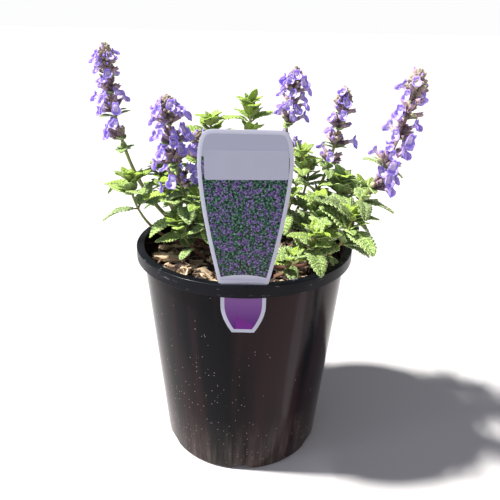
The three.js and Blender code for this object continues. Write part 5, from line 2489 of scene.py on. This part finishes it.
class Catmint:
    """The whole plant: six flowering stems and twenty leafy shoots."""

    spikes: ClassVar[tuple[FlowerSpike, ...]] = (
        FlowerSpike(
            Stem(0, "a", (-27, 22), (-94, 22, 280), 1.2, 8),
            0.68,
            ((0.4, 21), (0.53, 22), (0.665, 17)),
            (
                Whorl(0.725, 5, 1, 230),
                Whorl(0.825, 7, 1, 300),
                Whorl(0.885, 6, 1),
                Whorl(0.935, 5, 2),
                Whorl(0.965, 3, 5),
            ),
            ((0.795, 11),),
        ),
        FlowerSpike(
            Stem(1, "b", (-19, 15), (-48, -20, 252), 0.95, 40),
            0.59,
            ((0.34, 23), (0.48, 22), (0.57, 14)),
            (
                Whorl(0.635, 5, 1),
                Whorl(0.76, 7, 1),
                Whorl(0.845, 6, 1),
                Whorl(0.925, 7, 1),
                Whorl(0.96, 3, 5),
            ),
            ((0.73, 9),),
        ),
        FlowerSpike(
            Stem(2, "c", (0, 27), (33, 32, 266), 0.6, 70),
            0.64,
            ((0.36, 23), (0.52, 22), (0.63, 15)),
            (Whorl(0.66, 4, 1), Whorl(0.79, 5, 1), Whorl(0.86, 5, 1), Whorl(0.925, 5, 1), Whorl(0.97, 2, 6)),
            ((0.765, 9),),
        ),
        FlowerSpike(
            Stem(3, "d", (15, 20), (64, 14, 256), 1.05, 15),
            0.68,
            ((0.38, 22), (0.52, 22), (0.665, 16)),
            (Whorl(0.715, 5, 1), Whorl(0.8, 4, 2), Whorl(0.87, 4, 2), Whorl(0.93, 4, 2), Whorl(0.97, 1, 7)),
            ((0.775, 8),),
            0.5,
        ),
        FlowerSpike(
            Stem(4, "e", (27, -7), (95, -43, 271), 0.8, 25),
            0.53,
            ((0.3, 23), (0.42, 22), (0.515, 16)),
            (
                Whorl(0.6, 5, 1, 200),
                Whorl(0.71, 8, 1),
                Whorl(0.815, 5, 2),
                Whorl(0.885, 5, 1),
                Whorl(0.935, 5, 2),
                Whorl(0.975, 1, 7),
            ),
            ((0.685, 13),),
            0.35,
        ),
        FlowerSpike(
            Stem(5, "f", (-11, 25), (-35, 30, 222), 0.8, 60),
            0.66,
            ((0.42, 21), (0.64, 16)),
            (Whorl(0.72, 5, 1), Whorl(0.85, 5, 1), Whorl(0.96, 2, 5)),
        ),
    )
    shoots: ClassVar[tuple[LeafyShoot, ...]] = (
        LeafyShoot(Stem(6, "front_right", (20, -22), (43, -48, 178), 0.9, 58), 4, 23),
        LeafyShoot(Stem(7, "low_right", (30, -20), (67, -38, 187), 1.0, 50), 4, 24),
        LeafyShoot(Stem(8, "edge_right", (21, -34), (30, -50, 163), 0.6, 80), 2, 22),
        LeafyShoot(Stem(9, "mid_right", (23, -11), (49, -22, 191), 0.8, 5), 4, 24),
        LeafyShoot(Stem(10, "far_right", (34, 4), (82, 0, 194), 0.75, 60), 3, 22),
        LeafyShoot(Stem(11, "right", (30, 12), (66, 6, 200), 0.9, 20), 4, 23),
        LeafyShoot(Stem(12, "tall_right", (21, 28), (39, 12, 215), 0.5, 35), 3, 19, 0.25),
        LeafyShoot(Stem(13, "middle_right", (8, 6), (22, -20, 194), 0.6, 75), 4, 24),
        LeafyShoot(Stem(14, "far_left", (-33, 10), (-79, 0, 198), 1.1, 30), 3, 22, 0.25, 1.1),
        LeafyShoot(Stem(15, "left", (-24, 3), (-52, -8, 194), 0.8, 0), 4, 23, 0.2, 0.9),
        LeafyShoot(Stem(16, "low_left", (-28, -8), (-44, -14, 172), 0.7, 65), 3, 21, 0.15, 0.8),
        LeafyShoot(Stem(17, "middle_left", (-10, 4), (-29, -22, 192), 0.7, 20), 4, 23, 0.2, 0.9),
        LeafyShoot(Stem(18, "back_left", (-33, 28), (-64, 34, 196), 0.9, 50), 4, 23),
        LeafyShoot(Stem(19, "back_tall", (6, 40), (2, 44, 243), 0.4, -35), 4, 23, 0.4, 0.9),
        LeafyShoot(Stem(20, "back_mid", (-7, 38), (-27, 42, 231), 0.5, -68), 4, 23, 0.4, 0.9),
        LeafyShoot(Stem(21, "rear_left", (-20, 40), (-36, 53, 200), 0.8, 15), 3, 23),
        LeafyShoot(Stem(22, "rear_right", (26, 38), (48, 50, 196), 0.8, 55), 3, 23),
        LeafyShoot(Stem(23, "rear_far_left", (-35, 37), (-62, 51, 184), 0.5, 20), 3, 22),
        LeafyShoot(Stem(24, "rear_far_right", (38, 26), (76, 38, 182), 0.6, 30), 3, 22),
        LeafyShoot(Stem(25, "rear", (4, 50), (6, 55, 190), 0.8, 45), 3, 22),
    )

    def build(self, nodes: dict[str, bpy.types.Object]) -> None:
        """Make the plant.

        Args:
            nodes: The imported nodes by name.
        """
        organs = Organs()
        for spike in self.spikes:
            spike.leafy_part(organs, nodes[f"flower_stem_{spike.stem.name}"])
            spike.flowers(organs, nodes[f"flower_spike_{spike.stem.name}"])
        for shoot in self.shoots:
            shoot.build(organs, nodes[f"leafy_shoot_{shoot.stem.name}"])


# ------------------------------------------------------------------ studio


@dataclass(frozen=True)
class Softbox:
    """A rectangular light: its name, place and size in millimetres, power in watts and colour."""

    name: str
    at: Triple
    size: tuple[float, float]
    power: float
    colour: str
    aim: Triple = (0, 0, 150)
    shape: str = "RECTANGLE"

    def build(self) -> None:
        """Hang the light, turned to its aim."""
        light = bpy.data.lights.new(self.name, "AREA")
        light.shape = self.shape
        light.size, light.size_y = (side * MM for side in self.size)
        light.energy = self.power
        light.color = srgb(self.colour)[:3]
        at = Vector(self.at)
        turn = (Vector(self.aim) - at).to_track_quat("-Z", "Y").to_matrix().to_4x4()
        stand(self.name, light, Matrix.Translation(at * MM) @ turn)


@dataclass(frozen=True)
class Studio:
    """The floor, the lights and the camera."""

    lens: float = 38.47
    camera_at: Triple = (3.862, -351.635, 293.245)
    camera_right: Triple = (0.99978, 0.00798, 0.01915)
    camera_up: Triple = (-0.02074, 0.38462, 0.92284)
    floor_size: float = 80000.0
    backdrop_colour: str = "#fdfdfe"
    air_colour: str = "#eef2fb"
    air: float = 0.36
    key_from: Triple = (-0.59, -0.02, 0.81)
    key_power: float = 10.6
    key_colour: str = "#fffaf3"
    key_spread: float = 5.0
    lights: tuple[Softbox, ...] = (
        Softbox("fill", (-560, -660, 600), (900, 600), 1.3, "#dfe8ff"),
        Softbox("left_strip", (-560, -330, 260), (120, 700), 0.7, "#e6eaff", (0, 0, 90)),
        Softbox("right_strip", (300, -640, 300), (80, 560), 0.8, "#ffdccc", (0, 0, 90)),
        Softbox("wall_streak", (66, -68, 60), (14, 170), 0.006, "#f4f6ff", (34, -54, 60), "ELLIPSE"),
    )

    def floor(self) -> None:
        """Lay the floor."""
        grid = bmesh.new()
        bmesh.ops.create_grid(grid, x_segments=1, y_segments=1, size=self.floor_size * MM / 2)
        mesh = bpy.data.meshes.new("studio_floor")
        grid.to_mesh(mesh)
        grid.free()
        mesh.materials.append(StudioFloor().material())
        stand("studio_floor", mesh)

    def camera(self) -> None:
        """Set up the camera."""
        camera = bpy.data.cameras.new("camera")
        camera.lens = self.lens
        camera.sensor_width = 36
        camera.sensor_fit = "HORIZONTAL"
        camera.clip_start = 0.01
        right, up = Vector(self.camera_right), Vector(self.camera_up)
        turn = Matrix((right, up, right.cross(up))).transposed().to_4x4()
        place = Matrix.Translation(Vector(self.camera_at) * MM) @ turn
        bpy.context.scene.camera = stand("camera", camera, place)

    def air_light(self) -> None:
        """Fill the studio with even light, before a white backdrop."""
        world = bpy.data.worlds.new("studio")
        world.use_nodes = True
        tree = world.node_tree
        air = add_node(tree, "Background", self.air_colour, self.air)
        backdrop = add_node(tree, "Background", self.backdrop_colour)
        both = add_node(tree, "MixShader", add_node(tree, "LightPath"), air, backdrop)
        plug(tree, tree.nodes["World Output"].inputs["Surface"], both)
        bpy.context.scene.world = world

    def key_light(self) -> None:
        """Light the plant from above its left side."""
        light = bpy.data.lights.new("key", "SUN")
        light.energy = self.key_power
        light.color = srgb(self.key_colour)[:3]
        light.angle = math.radians(self.key_spread)
        stand("key", light, Vector(self.key_from).to_track_quat("Z", "Y").to_matrix().to_4x4())

    def build(self) -> None:
        """Set up the studio."""
        bpy.context.scene.view_settings.view_transform = "Standard"
        self.floor()
        self.camera()
        self.air_light()
        self.key_light()
        for light in self.lights:
            light.build()


def main() -> None:
    """Build the object and its studio."""
    logging.basicConfig(level=logging.INFO, format="%(name)s: %(message)s")
    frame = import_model()
    NurseryPot().build()
    PlantLabel().build()
    PottingMix().build()
    for chip in BARK_CHIPS:
        chip.build()
    Catmint().build(frame["nodes"])
    Studio().build()


if __name__ == "__main__":
    main()
